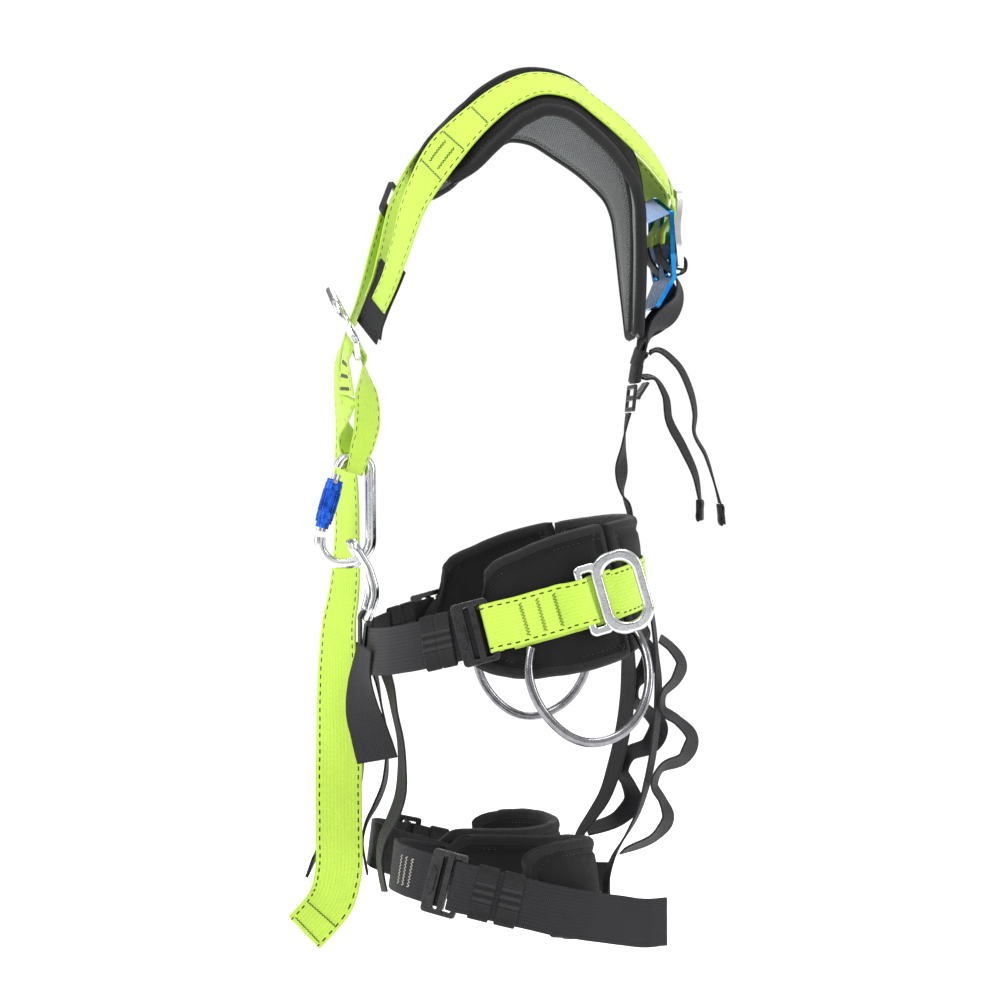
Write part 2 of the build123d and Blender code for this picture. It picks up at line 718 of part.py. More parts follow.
def ventral_ring():
    """A bent round-rod D: straight bar below, apex forward and up."""
    x, y, z = VENTRAL_BAR
    half = [(0, y, z), (28, y, z), (28, -121, 20), (24, -127, 42), (20, -142, 67), (0, -142, 67)]
    with BuildPart() as ring:
        with BuildLine():
            side = FilletPolyline(*half, radius=[10, 30, 26, 11])
            mirror(side, about=Plane.YZ)
        with BuildSketch(Plane((0, y, z), z_dir=(1, 0, 0))):
            Circle(RING_ROD)
        sweep()
    return ring.part


# The carabiner, in (y, z) on the wearer's middle plane
HOOK_X = 0.0
HOOK_CORNERS = [(-154, 137.5), (-149, 147), (-124, 147), (-123, 47), (-174, 47), (-171, 72)]
HOOK_RADII = [8, 12, 23, 20]
GATE_FOOT = (-171.0, 77.0)
GATE_HEAD = (-155.0, 132.0)
HOOK_TOP = (0.0, -139.5, 144.0)


def hook_point(spot):
    """A point of the carabiner's plane."""
    return (HOOK_X, *spot)


def carabiner_body():
    """The forged hook, open where the gate closes it, with a flat cheek at the hinge."""
    with BuildPart() as hook:
        with BuildLine() as path:
            FilletPolyline(*map(hook_point, HOOK_CORNERS), radius=HOOK_RADII)
        with BuildSketch(Plane(path.line @ 0, z_dir=path.line % 0)):
            Circle(HOOK_ROD)
        sweep()
    return hook.part


def gate_plane(share):
    """A plane across the gate, that share of the way up it."""
    foot, head = Vector(*hook_point(GATE_FOOT)), Vector(*hook_point(GATE_HEAD))
    return Plane(foot + (head - foot) * share, x_dir=(1, 0, 0), z_dir=head - foot)


def gate_length():
    """From the gate's hinge to its head."""
    return dist(GATE_FOOT, GATE_HEAD)


def carabiner_gate():
    """The gate's rod."""
    with BuildPart() as gate:
        with BuildSketch(gate_plane(0.0).offset(0.6)):
            Circle(4.4)
        extrude(amount=gate_length() - 1.4)
    return gate.part


def carabiner_sleeve():
    """The twist-lock sleeve with its knurled waist."""
    bore = 4.7
    steps = ((5, 6.2), (4, 7.8), (6, 8.2), (22, 7.7), (6, 8.2), (4, 7.6))
    with BuildPart() as sleeve:
        height = 4.0
        for length, radius in steps:
            with BuildSketch(gate_plane(0.0).offset(height)):
                Circle(radius)
                Circle(bore, mode=Mode.SUBTRACT)
            extrude(amount=length)
            height += length
        with BuildSketch(gate_plane(0.0).offset(19.5)):
            with PolarLocations(7.9, 20):
                Circle(0.75)
        extrude(amount=21)
    return sleeve.part


def carabiner_pin():
    """The rivet through the gate's head end of the sleeve, on the wearer's left."""
    plane = gate_plane(0.86)
    with BuildPart() as pin:
        with BuildSketch(Plane(plane.origin + Vector(8.3, 0, 0), z_dir=(1, 0, 0))):
            Circle(1.9)
        extrude(amount=0.9)
    return pin.part


def back_buckle():
    """A small three-bar buckle on the spine strap."""
    frame = soft_plate((0, 0, 26, 42, 3), [(5.6, 0, 6.0, 33, 1), (-5.6, 0, 6.0, 33, 1)], 3.0, 0.8)
    return frame.moved(BACK_BUCKLE.location)


def back_lever():
    """The buckle's lever, tilted up and back."""
    with BuildPart() as lever:
        with Locations((9, 0, 0)):
            Box(19, 30, 2.4)
        with Locations((1.0, 0, 0)):
            Cylinder(1.8, 30, rotation=(90, 0, 0))
        fillet(lever.edges().filter_by(Axis.Z).group_by(Axis.X)[-1], 1.0)
    return lever.part.moved(BACK_LEVER.location)


BACK_BUCKLE = Plane((0, 126.5, 204), x_dir=(0, 0.10, 1), z_dir=(0, 1, -0.10))
BACK_LEVER = Plane((0, 130.8, 203.5), x_dir=(0, 0.55, 0.83), z_dir=(0, 0.83, -0.55))


def chest_buckle():
    """The right shoulder strap's adjuster, between the strap and its tail."""
    row = SHOULDER_STRAP[3]
    way = Vector(*SHOULDER_STRAP[4][:3]) - Vector(*SHOULDER_STRAP[2][:3])
    normal = Vector(*row[3:6])
    normal = (normal - way * (normal.dot(way) / way.dot(way))).normalized()
    place = Plane(Vector(*row[:3]) + normal * 3.6, x_dir=way, z_dir=normal)
    return mirror(strap_buckle(place), about=Plane.YZ)


def tail_ends(rows):
    """The folded end of a rear tail, as a small block."""
    low, above = Vector(*rows[-1][:3]), Vector(*rows[-2][:3])
    way = (low - above).normalized()
    normal = Vector(*rows[-1][3:6])
    normal = normal - way * normal.dot(way)
    with BuildPart() as end:
        with BuildSketch(Plane(low + way * 0.4, x_dir=way.cross(normal), z_dir=way)):
            RectangleRounded(NARROW + 3, 6.5, 2)
        extrude(amount=21)
    return end.part


def build_soft():
    """Writes every pad and length of webbing."""
    write_pair("shoulder_pad", ribbon(SHOULDER_PAD, YOKE_PAD))
    write("shoulder_strap_left", ribbon(SHOULDER_STRAP_LEFT, spans=3))
    write("shoulder_strap_right", mirror(ribbon(SHOULDER_STRAP, spans=3), about=Plane.YZ))
    over, under = (BACK_STRAP[:7] + moved_by(BACK_STRAP[7:], 0, y, 0) for y in (1.4, -1.4))
    write("back_strap_left", ribbon(over, spans=3))
    write("back_strap_right", mirror(ribbon(under, spans=3), about=Plane.YZ))
    write("back_riser", ribbon(BACK_RISER))
    write("back_tails", ribbon(BACK_TAIL_LEFT), ribbon(BACK_TAIL_RIGHT))
    write("dorsal_loop", ribbon(DORSAL_LOOP, spans=3))
    write("chest_sleeves", ribbon(CHEST_SLEEVE_LEFT), mirror(ribbon(CHEST_SLEEVE), about=Plane.YZ))
    write("chest_tail", ribbon(CHEST_TAIL))
    write("sternal_strap", ribbon(sternal_strap_rows()))
    write_pair("waist_pad", ribbon(waist_pad_rows(), PAD, 1))
    write("lumbar_pad", ribbon(lumbar_pad_rows(), PAD, 1))
    write("belt_webbing_back", ribbon(back_webbing_rows(), WEB, 1))
    write_pair("waist_webbing", ribbon(waist_webbing_rows()))
    write_pair("waist_strap", ribbon(waist_strap_rows(), WEB, 1))
    write("waist_tails", ribbon(WAIST_TAIL_LEFT), ribbon(WAIST_TAIL_RIGHT))
    write("ventral_loop", ribbon(VENTRAL_LOOP))
    write_pair("leg_pad", ribbon(leg_pad_rows(), PAD, 1))
    write_pair("leg_strap", ribbon(leg_strap_rows(), WEB, 1))
    write_pair("leg_tail", ribbon(leg_tail_rows()))
    write_both("front_risers", ribbon(FRONT_RISER))
    write_both("rear_risers", ribbon(REAR_RISER))
    write_both("rear_loops", ribbon(REAR_LOOPS))


def build_hard():
    """Writes every piece of metal, plastic and rubber."""
    write_pair("side_d", forged_d(seat(waist, SIDE_D, 4.5), 11, 14))
    write("sternal_d", forged_d(sternal_seat(), 4, 20))
    write("dorsal_plate", dorsal_plate())
    write("dorsal_d", dorsal_eye())
    write("ventral_ring", ventral_ring())
    write("carabiner_body", carabiner_body())
    write("carabiner_gate", carabiner_gate())
    write("carabiner_sleeve", carabiner_sleeve())
    write("carabiner_pin", carabiner_pin())
    write_pair("gear_loop", tube(GEAR_LOOP, TUBE))
    waist_place = seat(waist, WAIST_BUCKLE, RIDE)
    write_pair("waist_buckle", strap_buckle(waist_place))
    write_pair("waist_buckle_bar", buckle_bar(waist_place))
    leg_place = seat(thigh, LEG_BUCKLE, RIDE)
    write_pair("leg_buckle", strap_buckle(leg_place))
    write_pair("leg_buckle_bar", buckle_bar(leg_place))
    write_both("waist_keepers", keeper(seat(waist, WAIST_KEEPER, -0.5), (47, 6.4), 30, 1.6))
    bands = [keeper(seat(thigh, angle, 1.1), (47, 7.4), 19) for angle in (-12.0, -0.5)]
    write_both("leg_keepers", *bands)
    write("chest_buckle", chest_buckle())
    write("back_keepers", *[keeper_on(BACK_STRAP, i, (32, 6.6), 17) for i in (8, 9)])
    write("back_buckle", back_buckle())
    write("back_buckle_lever", back_lever())
    write("back_tail_ends", tail_ends(BACK_TAIL_LEFT), tail_ends(BACK_TAIL_RIGHT))


os.makedirs("parts", exist_ok=True)
build_soft()
build_hard()
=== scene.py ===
"""Looks of the full-body tree climbing harness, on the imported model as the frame.

Routes repeat the rows of the CAD model, in millimetres. make() and thread() turn them into metres.
A row is a point, the outward direction there and the width. CAD solids carry the metal parts' looks.
"""

import math

import bpy
import numpy as np
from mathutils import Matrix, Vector


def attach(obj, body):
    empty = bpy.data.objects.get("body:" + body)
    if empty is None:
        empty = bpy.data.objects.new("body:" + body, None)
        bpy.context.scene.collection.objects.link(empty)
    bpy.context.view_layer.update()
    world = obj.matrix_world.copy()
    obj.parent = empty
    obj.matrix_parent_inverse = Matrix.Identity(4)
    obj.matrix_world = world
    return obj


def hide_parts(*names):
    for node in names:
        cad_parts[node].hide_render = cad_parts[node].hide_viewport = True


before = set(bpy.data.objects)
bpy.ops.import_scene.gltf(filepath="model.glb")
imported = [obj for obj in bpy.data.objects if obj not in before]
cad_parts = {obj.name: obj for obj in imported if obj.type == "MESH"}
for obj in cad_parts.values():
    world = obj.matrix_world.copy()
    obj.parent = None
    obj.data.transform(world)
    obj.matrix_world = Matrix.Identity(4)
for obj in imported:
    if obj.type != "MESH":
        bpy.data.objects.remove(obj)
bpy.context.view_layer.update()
HARNESS = "harness"
MM = 0.001

# ---------------------------------------------------------------- routes

WIDE = 45.0  # main load webbing
MEDIUM = 30.0  # rear straps
SLIM = 25.0  # risers and loops
NARROW = 15.0  # free adjuster tails
WEB = 2.0  # thickness of every webbing
PAD = 10.0  # waist and leg padding
YOKE_PAD = 9.0  # shoulder padding
PAD_OUT = -7.2  # the middle of a pad, outward from the middle of the webbing on it
SECOND = 2.6  # the middle of a second layer of webbing, outward from the first
LEAN = 0.12  # how far a hoop's outer face looks upward

# Hoops: half widths, centre, level, rise toward the back, and how square the oval is
WAIST = ((166.0, 130.0), (0.0, 2.0), 0.0, 0.27, 2.8)
THIGH = ((84.0, 97.0), (101.0, -16.0), -255.0, -0.25, 2.3)

# Places round a hoop, in degrees
WAIST_BUCKLE = -13.9
WAIST_KEEPER = -30.0
SIDE_D = 15.7
LEG_BUCKLE = -33.0
LEG_KEEPERS = (-12.0, -0.5)

# The sternal D's base
STERNAL_BASE = (6.0, -139.5, 250.0)
STERNAL_FACE = (0.0, -1.0, -0.10)
STERNAL_ROLL = 20.0  # the left side hangs lower
STERNAL_LIFT = 4.0


def oval(hoop, angle, out=0.0, up=0.0, width=WIDE):
    """A row at an angle round a hoop, counted from the wearer's left toward the back."""
    half, centre, level, rise, power = hoop
    c, s = math.cos(math.radians(angle)), math.sin(math.radians(angle))
    x = half[0] * math.copysign(abs(c) ** (2 / power), c)
    y = half[1] * math.copysign(abs(s) ** (2 / power), s)
    nx = math.copysign((abs(x) / half[0]) ** (power - 1), x) / half[0]
    ny = math.copysign((abs(y) / half[1]) ** (power - 1), y) / half[1]
    size = math.hypot(nx, ny)
    nx, ny = nx / size, ny / size
    out = out - LEAN * up
    x, y = centre[0] + x + nx * out, centre[1] + y + ny * out
    return (x, y, level + rise * y + up, nx, ny, LEAN, width)


def waist(angle, out=0.0, up=0.0, width=WIDE):
    return oval(WAIST, angle, out, up, width)


def thigh(angle, out=0.0, up=0.0, width=WIDE):
    return oval(THIGH, angle, out, up, width)


def beside(hoop, angle, shift, out=0.0, up=0.0, width=WIDE):
    """The hoop's row that lies a shift in millimetres past an angle."""
    per_degree = math.dist(hoop(angle + 0.5)[:3], hoop(angle - 0.5)[:3])
    return hoop(angle + shift / per_degree, out, up, width)


class Seat:
    """A local frame: x runs along, y across and z outward."""

    def __init__(self, origin, x, z):
        self.o, self.z = Vector(origin), Vector(z).normalized()
        x = Vector(x)
        self.x = (x - self.z * x.dot(self.z)).normalized()
        self.y = self.z.cross(self.x)

    def at(self, x, y, z):
        return self.o + self.x * x + self.y * y + self.z * z


def seat(hoop, angle, out=0.0):
    row = hoop(angle, out)
    way = Vector(hoop(angle + 0.5)[:3]) - Vector(hoop(angle - 0.5)[:3])
    return Seat(row[:3], way, row[3:6])


def flat(place, shift, out, turn=90.0, side=-1):
    """A row on a seat; a turn of 90 looks outward, and 0 looks along it."""
    spot, t = place.at(shift, 0, out), math.radians(turn)
    look = place.z * math.sin(t) + place.x * (side * math.cos(t))
    return (*spot, *look, WIDE)


def fold_back(place, shift, low, high, side=-1):
    """Rows round a half circle, from the low layer to the high one."""
    radius = (high - low) / 2
    rows = []
    for turn in (-90, -45, 0, 45, 90):
        t = math.radians(turn)
        along = shift + side * radius * math.cos(t)
        rows.append(flat(place, along, low + radius * (1 + math.sin(t)), turn, side))
    return rows


def spread(shape, step):
    """The shape's entries with evenly spaced ones between them, about a step of angle apart."""
    rows = [shape[0]]
    for a, b in zip(shape, shape[1:]):
        count = max(1, round(abs((b[0] - a[0]) / step)))
        for k in range(1, count + 1):
            rows.append(tuple(u + (v - u) * k / count for u, v in zip(a, b)))
    return rows


def of_width(width, rows):
    return [(*row[:6], width) for row in rows]


SHOULDER_PAD = [
    (70, -66, 408, 0.72, -0.55, 0.40, 40), (73, -56, 423, 0.72, -0.50, 0.45, 60),
    (80, -30, 452, 0.62, -0.35, 0.70, 80), (84, -5, 474, 0.57, -0.18, 0.80, 86),
    (85, 20, 485, 0.55, 0.05, 0.83, 88), (84, 48, 482, 0.52, 0.30, 0.80, 86),
    (76, 76, 464, 0.48, 0.58, 0.66, 82), (60, 102, 440, 0.36, 0.80, 0.48, 78),
    (47, 120, 415, 0.25, 0.93, 0.25, 72), (40, 127, 390, 0.18, 0.97, 0.12, 66),
    (35, 129, 361, 0.15, 0.99, 0.0, 60), (28, 130, 318, 0.12, 0.99, 0.0, 48),
    (20, 130, 282, 0.08, 0.99, 0.0, 33), (15.5, 130, 262, 0.05, 1.0, 0.0, 25),
]
SHOULDER_STRAP = of_width(WIDE, [
    (26, -119, 289, 0.50, -0.85, 0.10), (33, -110, 310, 0.56, -0.81, 0.15),
    (43, -101, 340, 0.62, -0.76, 0.20), (60, -88, 385, 0.68, -0.66, 0.30),
    (78, -65, 426, 0.72, -0.52, 0.43), (84.5, -34, 459, 0.62, -0.35, 0.70),
    (88, -6, 481, 0.57, -0.18, 0.80), (89.5, 20.5, 492, 0.55, 0.05, 0.83),
    (88, 51, 489, 0.52, 0.30, 0.80), (80, 81.5, 470.5, 0.48, 0.58, 0.66),
    (66, 112, 449, 0.42, 0.75, 0.48), (52, 138.5, 425, 0.30, 0.88, 0.32),
    (39, 156, 402, 0.12, 0.98, 0.05), (31, 161.7, 386, 0.04, 0.95, -0.30),
    (28.5, 157.6, 371, 0.0, 0.80, -0.60), (28, 150.3, 360, 0.0, 0.84, -0.54),
    (28, 148.8, 349, 0.0, 1.0, 0.0),
])
SHOULDER_STRAP_LEFT = of_width(WIDE, [
    (26, -119, 289, 0.24, -0.95, 0.20), (33, -110, 310, 0.27, -0.93, 0.24),
    (43, -101, 340, 0.36, -0.88, 0.30), (60, -88, 385, 0.52, -0.76, 0.37),
    *[row[:6] for row in SHOULDER_STRAP[4:]],
])
BACK_STRAP = of_width(MEDIUM, [
    (28, 145.6, 349, 0.0, 1.0, 0.0), (28, 149, 337.5, 0.0, 0.85, 0.50),
    (28, 157.4, 326.5, 0.0, 0.77, 0.64), (27, 165, 316.5, 0.20, 0.90, 0.35),
    (24.5, 168, 303, 0.45, 0.88, 0.10), (18.5, 161.5, 287, 0.72, 0.68, -0.10),
    (11, 148, 270, 0.60, 0.80, -0.10), (4, 139, 255, 0.20, 0.98, 0.0),
    (0, 133.5, 243, 0.0, 1.0, -0.1), (0, 131, 228, 0.0, 1.0, -0.1),
    (0, 129.6, 218.5, 0.0, 1.0, -0.1),
])
BACK_RISER = of_width(SLIM, [
    (0, 124, 190, 0.0, 1.0, 0.0), (0, 121.5, 178, 0.1, 1.0, 0.0),
    (0, 119, 158, 0.3, 0.95, 0.0), (0, 117, 134, 0.6, 0.8, 0.0),
    (0, 118.5, 112, 0.2, 0.98, 0.1), (0, 122.5, 104, 0.0, 1.0, 0.3),
    (0, 124.9, 96, 0.0, 0.99, 0.12), (0, 126, 86, 0.0, 0.99, 0.12),
    (0, 127.8, 70, 0.0, 0.99, 0.12),
])
BACK_TAIL_LEFT = of_width(NARROW, [
    (9, 137, 243, 0.3, 0.9, 0.3), (14, 148, 250, 0.4, 0.5, 0.8),
    (17, 166, 238, 0.5, 0.7, 0.5), (18, 180, 212, 0.5, 0.8, 0.2),
    (18, 185, 188, 0.4, 0.9, 0.0), (18, 184, 172, 0.3, 0.9, 0.2),
    (18, 195, 150, 0.3, 0.8, 0.4), (18, 203, 126, 0.2, 0.9, 0.1),
    (18, 209, 104, 0.1, 0.9, 0.1),
])
BACK_TAIL_RIGHT = of_width(NARROW, [
    (-9, 137, 224, -0.2, 0.9, 0.3), (-12, 149, 225, 0.2, 0.5, 0.8),
    (-14, 162, 208, 0.5, 0.7, 0.5), (-14, 166, 184, 0.6, 0.8, 0.1),
    (-14, 180, 157, 0.6, 0.6, 0.4), (-14, 192, 130, 0.5, 0.8, 0.2),
    (-14, 196, 108, 0.3, 0.9, 0.0),
])
DORSAL_LOOP = of_width(24.0, [
    (0, 159.4, 362, 0, 1, 0), (0, 159.9, 352, 0, 1, 0.1), (0, 161.8, 343.5, 0, 0.8, 0.6),
    (0, 166.5, 339.8, 0, 0.3, 0.95), (0, 172.5, 339.6, 0, 0.1, 1), (0, 177, 337, 0, 0.8, 0.6),
    (0, 178.3, 331, 0, 1, 0), (0, 177, 325.5, 0, 0.8, -0.6), (0, 172, 322.3, 0, 0.1, -1),
    (0, 166.5, 321.8, 0, -0.1, -1), (0, 162.3, 320, 0, 0.5, -0.9),
])
CHEST_SLEEVE = of_width(WIDE, [
    (37.0, -101.0, 327, 0.59, -0.78, 0.17), (30.8, -107.2, 309.6, 0.56, -0.81, 0.15),
    (24.2, -116.0, 288.7, 0.55, -0.82, 0.10), (19, -121.5, 276, 0.55, -0.83, 0.05),
    (15, -125.5, 266, 0.55, -0.83, 0.0),
])
CHEST_SLEEVE_LEFT = of_width(WIDE, [
    (36.0, -101.5, 327, 0.32, -0.91, 0.25), (30.0, -107.5, 309.6, 0.28, -0.93, 0.22),
    (23.6, -116.0, 288.7, 0.26, -0.94, 0.18), (18.5, -121.5, 276, 0.30, -0.93, 0.10),
    (15, -125.5, 266, 0.40, -0.90, 0.0),
])
CHEST_TAIL = of_width(WIDE, [
    (-61, -96.5, 377, -0.65, -0.70, 0.25), (-56, -106, 346, -0.62, -0.74, 0.20),
    (-54.5, -116, 318, -0.50, -0.82, 0.20), (-54, -128, 292, -0.30, -0.90, 0.30),
    (-54, -140, 268, -0.15, -0.92, 0.35), (-53, -148.5, 245, 0.0, -1.0, 0.15),
    (-51, -150.5, 222, 0.0, -1.0, 0.0), (-50, -146, 180, 0.15, -1.0, 0.0),
    (-51, -142, 126, 0.40, -0.92, 0.0), (-52, -141, 66, 0.45, -0.90, 0.0),
    (-50, -145, 12, 0.60, -0.80, 0.0), (-46, -149, -8, 0.66, -0.75, 0.0),
    (-36, -151.5, -42, 0.75, -0.65, 0.0), (-24, -152, -88, 0.88, -0.45, 0.0),
    (-14, -152, -129, 0.97, -0.25, 0.0), (-8, -153, -169, 1.0, 0.0, 0.0),
    (-4, -153, -211, 1.0, 0.0, 0.0), (0, -154, -245, 1.0, -0.1, 0.0),
    (2, -161, -270, 0.98, -0.1, -0.2), (4, -175, -288, 0.95, -0.1, -0.3),
    (6, -187, -300, 0.9, -0.1, -0.3),
])
WAIST_TAIL_LEFT = of_width(WIDE, [
    (42, -133, -30, 0.20, -0.97, 0.1), (40, -136, -50, 0.30, -0.95, 0.1),
    (37, -136.5, -67, 0.45, -0.90, 0.0), (34, -134, -90, 0.65, -0.75, 0.0),
    (31, -127, -113, 0.75, -0.65, 0.0), (29, -120, -137, 0.80, -0.60, 0.0),
])
WAIST_TAIL_RIGHT = of_width(WIDE, [
    (-64, -130.5, -30, -0.25, -0.97, 0.1), (-64, -133.5, -50, -0.25, -0.97, 0.1),
    (-62, -134, -75, -0.25, -0.97, 0.0), (-60, -131, -115, -0.3, -0.95, 0.0),
    (-58, -131, -165, -0.3, -0.95, 0.1), (-56, -146, -200, -0.3, -0.85, 0.4),
    (-52, -166, -224, -0.2, -0.85, 0.4), (-50, -180, -254, -0.1, -0.95, 0.2),
])
VENTRAL_LOOP = of_width(SLIM, [
    (0, -127.4, -56, 0, 1, 0), (0, -124.8, -34, 0, 1, 0), (0, -122.4, -10, 0, 1, 0),
    (0, -122.8, -2, 0, 0.9, 0.4), (0, -125, 1.0, 0, 0.5, 0.8), (0, -128, 2.0, 0, 0, 1),
    (0, -131, 1.0, 0, -0.5, 0.8), (0, -133.2, -2, 0, -0.9, 0.4), (0, -133.4, -10, 0, -1, 0),
    (0, -133.6, -34, 0, -1, 0), (0, -134.2, -56, 0, -1, 0),
])
FRONT_RISER = of_width(SLIM, [
    (60, -118.6, -22, 0.3, -0.95, 0.0), (60, -117.6, -44, 0.3, -0.95, 0.0),
    (60, -111, -68, 0.2, -0.97, -0.1), (60, -107, -90, 0.1, -1.0, -0.1),
    (62, -102, -115, 0.1, -1.0, 0.0), (67, -101, -142, 0.2, -1.0, 0.0),
    (71, -103, -166, 0.3, -0.95, 0.1), (75, -111, -188, 0.3, -0.9, 0.3),
    (77, -120, -206, 0.2, -0.95, 0.2), (78, -123, -224, 0.1, -1.0, 0.0),
    (79, -121, -242, 0.1, -1.0, -0.1), (80, -118.5, -254, 0.1, -0.95, -0.2),
])
REAR_RISER = of_width(SLIM, [
    (74, 131.5, 8, 0.3, 0.95, 0.1), (75, 134.5, -12, 0.3, 0.95, 0.1),
    (75, 136.5, -32, 0.3, 0.95, 0.0), (78, 138, -60, 0.4, 0.9, 0.0),
    (80, 137, -88, 0.4, 0.9, 0.0), (84, 133, -121, 0.4, 0.9, -0.1),
    (88, 126, -154, 0.4, 0.9, -0.2), (91, 116, -184, 0.3, 0.9, -0.3),
    (95, 104, -204, 0.2, 0.9, -0.4), (98, 93, -221, 0.1, 0.9, -0.4),
    (100, 86.5, -238, 0.0, 1.0, -0.2), (100, 84.2, -256, 0.0, 1.0, 0.0),
    (100, 84.0, -276, 0.0, 1.0, 0.0),
])
REAR_LOOPS = of_width(SLIM, [
    (76, 140, -22, 0.3, 0.95, 0.1), (77, 151, -31, 0.4, 0.6, 0.7),
    (79, 160, -46, 0.5, 0.8, 0.2), (80, 154, -61, 0.5, 0.5, -0.7),
    (80, 142.5, -74, 0.4, 0.9, -0.3), (81, 142, -88, 0.4, 0.9, 0.1),
    (83, 155, -98, 0.4, 0.6, 0.7), (84, 169, -115, 0.6, 0.8, 0.2),
    (85, 161, -133, 0.6, 0.4, -0.7), (86, 139, -143, 0.4, 0.8, -0.5),
    (88, 132.5, -158, 0.4, 0.9, 0.1), (89, 140, -172, 0.4, 0.8, 0.5),
    (91, 145, -188, 0.6, 0.8, -0.1), (94, 133, -204, 0.5, 0.5, -0.7),
    (99, 100, -218, 0.1, 0.9, -0.4),
])


def sternal_seat():
    """The lifted seat of the D's base: x runs up it, y across and z forward."""
    roll, lift = math.radians(STERNAL_ROLL), math.radians(STERNAL_LIFT)
    x = Vector((math.sin(roll), STERNAL_FACE[2] * math.cos(roll), math.cos(roll)))
    base = Seat(STERNAL_BASE, x, STERNAL_FACE)
    c, s = math.cos(lift), math.sin(lift)
    return Seat(base.o, base.x * c + base.z * s, base.z * c - base.x * s)


def sternal_strap_rows():
    front = [
        (-3, -143.5, 205, 0.25, -0.97, 0.0, 43), (-7, -146, 181, -0.1, -1.0, 0.0, 40),
        (-9.5, -144, 162, -0.8, -0.6, 0.0, 26), (-10, -139, 149, -1.0, -0.1, 0.0, 20),
        (-7, -139, 137, -0.7, -0.1, -0.7, 18), (0, -139.5, 132.6, 0.0, -0.3, -1.0, 18),
    ]
    back = [
        (7, -138, 137, 0.7, -0.1, -0.7, 18), (10, -135, 149, 1.0, 0.0, 0.1, 20),
        (9, -130, 166, 0.85, 0.5, 0.0, 28), (5, -127, 186, 0.65, 0.75, 0.0, 42),
        (3, -127.5, 206, 0.55, 0.83, 0.0, 45), (3, -130.0, 228, 0.20, 0.97, -0.05, 45),
    ]
    sewn = [(2, -147.4, 230, 0.10, -0.99, 0.0, 45), (0, -146.6, 206, 0.22, -0.97, 0.0, 45)]
    return front + back + fold_back(sternal_seat(), -0.3, -6.7, 6.7, 1) + sewn


def waist_pad_rows():
    shape = ((-17.6, 12, 22), (-15.4, 8, 52), (-12.6, 5, 74), (-9.5, 3, 88), (-5.5, 2, 102))
    shape += ((-1.5, 2, 113), (4, 2, 122), (12, 2, 126), (22, 2, 126), (32, 2, 125), (36, 2, 123))
    return [waist(angle, PAD_OUT, up, width) for angle, up, width in spread(shape, 3)]


def lumbar_pad_rows():
    shape = ((37, 121), (48, 119), (60, 117), (75, 116), (90, 116))
    shape += tuple((180 - angle, width) for angle, width in shape[-2::-1])
    return [waist(angle, PAD_OUT, 2, width) for angle, width in spread(shape, 5)]


def back_webbing_rows():
    return [waist(angle, 0, -2) for (angle,) in spread(((-3.5,), (36,), (90,), (144,), (183.5,)), 4)]


def waist_webbing_rows():
    place = seat(waist, WAIST_BUCKLE)
    rows = [flat(place, 21, -0.5, -90), *fold_back(place, 13.4, -0.3, 7.1)]
    rows += [flat(place, 17, 7.0), flat(place, 20, 6.8)]
    rows += [beside(waist, WAIST_BUCKLE, 30, SECOND + 1.4)]
    rows += [waist(1, SECOND), waist(5, SECOND), waist(9, SECOND)]
    over = ((-14, 3.8, 44), (-6.5, 9.8, 43), (0, 10.4, 43), (5, 8.2, 43), (9.6, 2.9, 44), (18, SECOND, WIDE))
    rows += [beside(waist, SIDE_D, shift, out, width=width) for shift, out, width in over]
    return rows + [waist(27, SECOND), waist(31, SECOND)]


def waist_strap_rows():
    place = seat(waist, WAIST_BUCKLE)
    angles = [angle for (angle,) in spread(((-23,), (-88.6,)), -4)]
    return [flat(place, 6, 0), flat(place, -16, 0), *map(waist, angles)]


def leg_pad_rows():
    shape = ((8, 4, 30), (12, 8, 62), (18, 14, 80), (28, 18, 86), (45, 22, 90), (65, 24, 92))
    shape += ((90, 24, 92), (120, 20, 90), (150, 12, 86), (175, 6, 80), (195, 3, 66), (206, 0, 34))
    return [thigh(angle, PAD_OUT, up, width) for angle, up, width in spread(shape, 6)]


def leg_strap_rows():
    angles = [angle for (angle,) in spread(((-22,), (314,)), 6)]
    place = seat(thigh, LEG_BUCKLE)
    return [flat(place, 7, 0), *map(thigh, angles), flat(place, -16, 0), flat(place, -2, 0)]


def leg_tail_rows():
    place = seat(thigh, LEG_BUCKLE)
    rise = ((6.4, 2.4), (7.6, 4.6), (9.6, 6.6), (12.5, 7.0), (18, 7.0))
    rows = [flat(place, shift, out) for shift, out in rise]
    rows += [beside(thigh, LEG_BUCKLE, 24, SECOND + 2.6), beside(thigh, LEG_BUCKLE, 30, SECOND)]
    rows += [thigh(angle, SECOND) for angle in (-10, -5, 0, 5)]
    free = (
        (187.5, 22, -260.5, 1.0, 0.05, 0.05), (183, 50, -266, 0.96, 0.25, 0.05),
        (172, 82, -272, 0.92, 0.38, 0.05), (160, 112, -277, 0.93, 0.36, 0.0),
        (150, 132, -277, 0.86, 0.50, 0.0),
    )
    return rows + of_width(WIDE, free)


# ---------------------------------------------------------------- shapes

ACROSS = 14  # points on a webbing's flat face
TRIM = 0.6  # how much narrower than its solid a webbing is
GROOVE = 13.0  # the sewn groove, in from a pad's outline
OUT_CROWN, IN_CROWN = 0.7, 2.4  # how far a pad swells inside its groove, outward and toward the body
TAPE_WIDTH = 8.0
STITCH_PITCH = 1.5  # of zigzag stitching
STITCH_LIFTS = np.array([-0.25, 0.28, 0.28, -0.25])  # of a running stitch's points above the cloth
BAND_CORNER = 1.6
BAND_POINTS = 80  # points round an elastic band
BAND_SQUARE = 0.35  # the power that squares the band's oval section
MIRROR = np.array([-1.0, 1.0, 1.0])


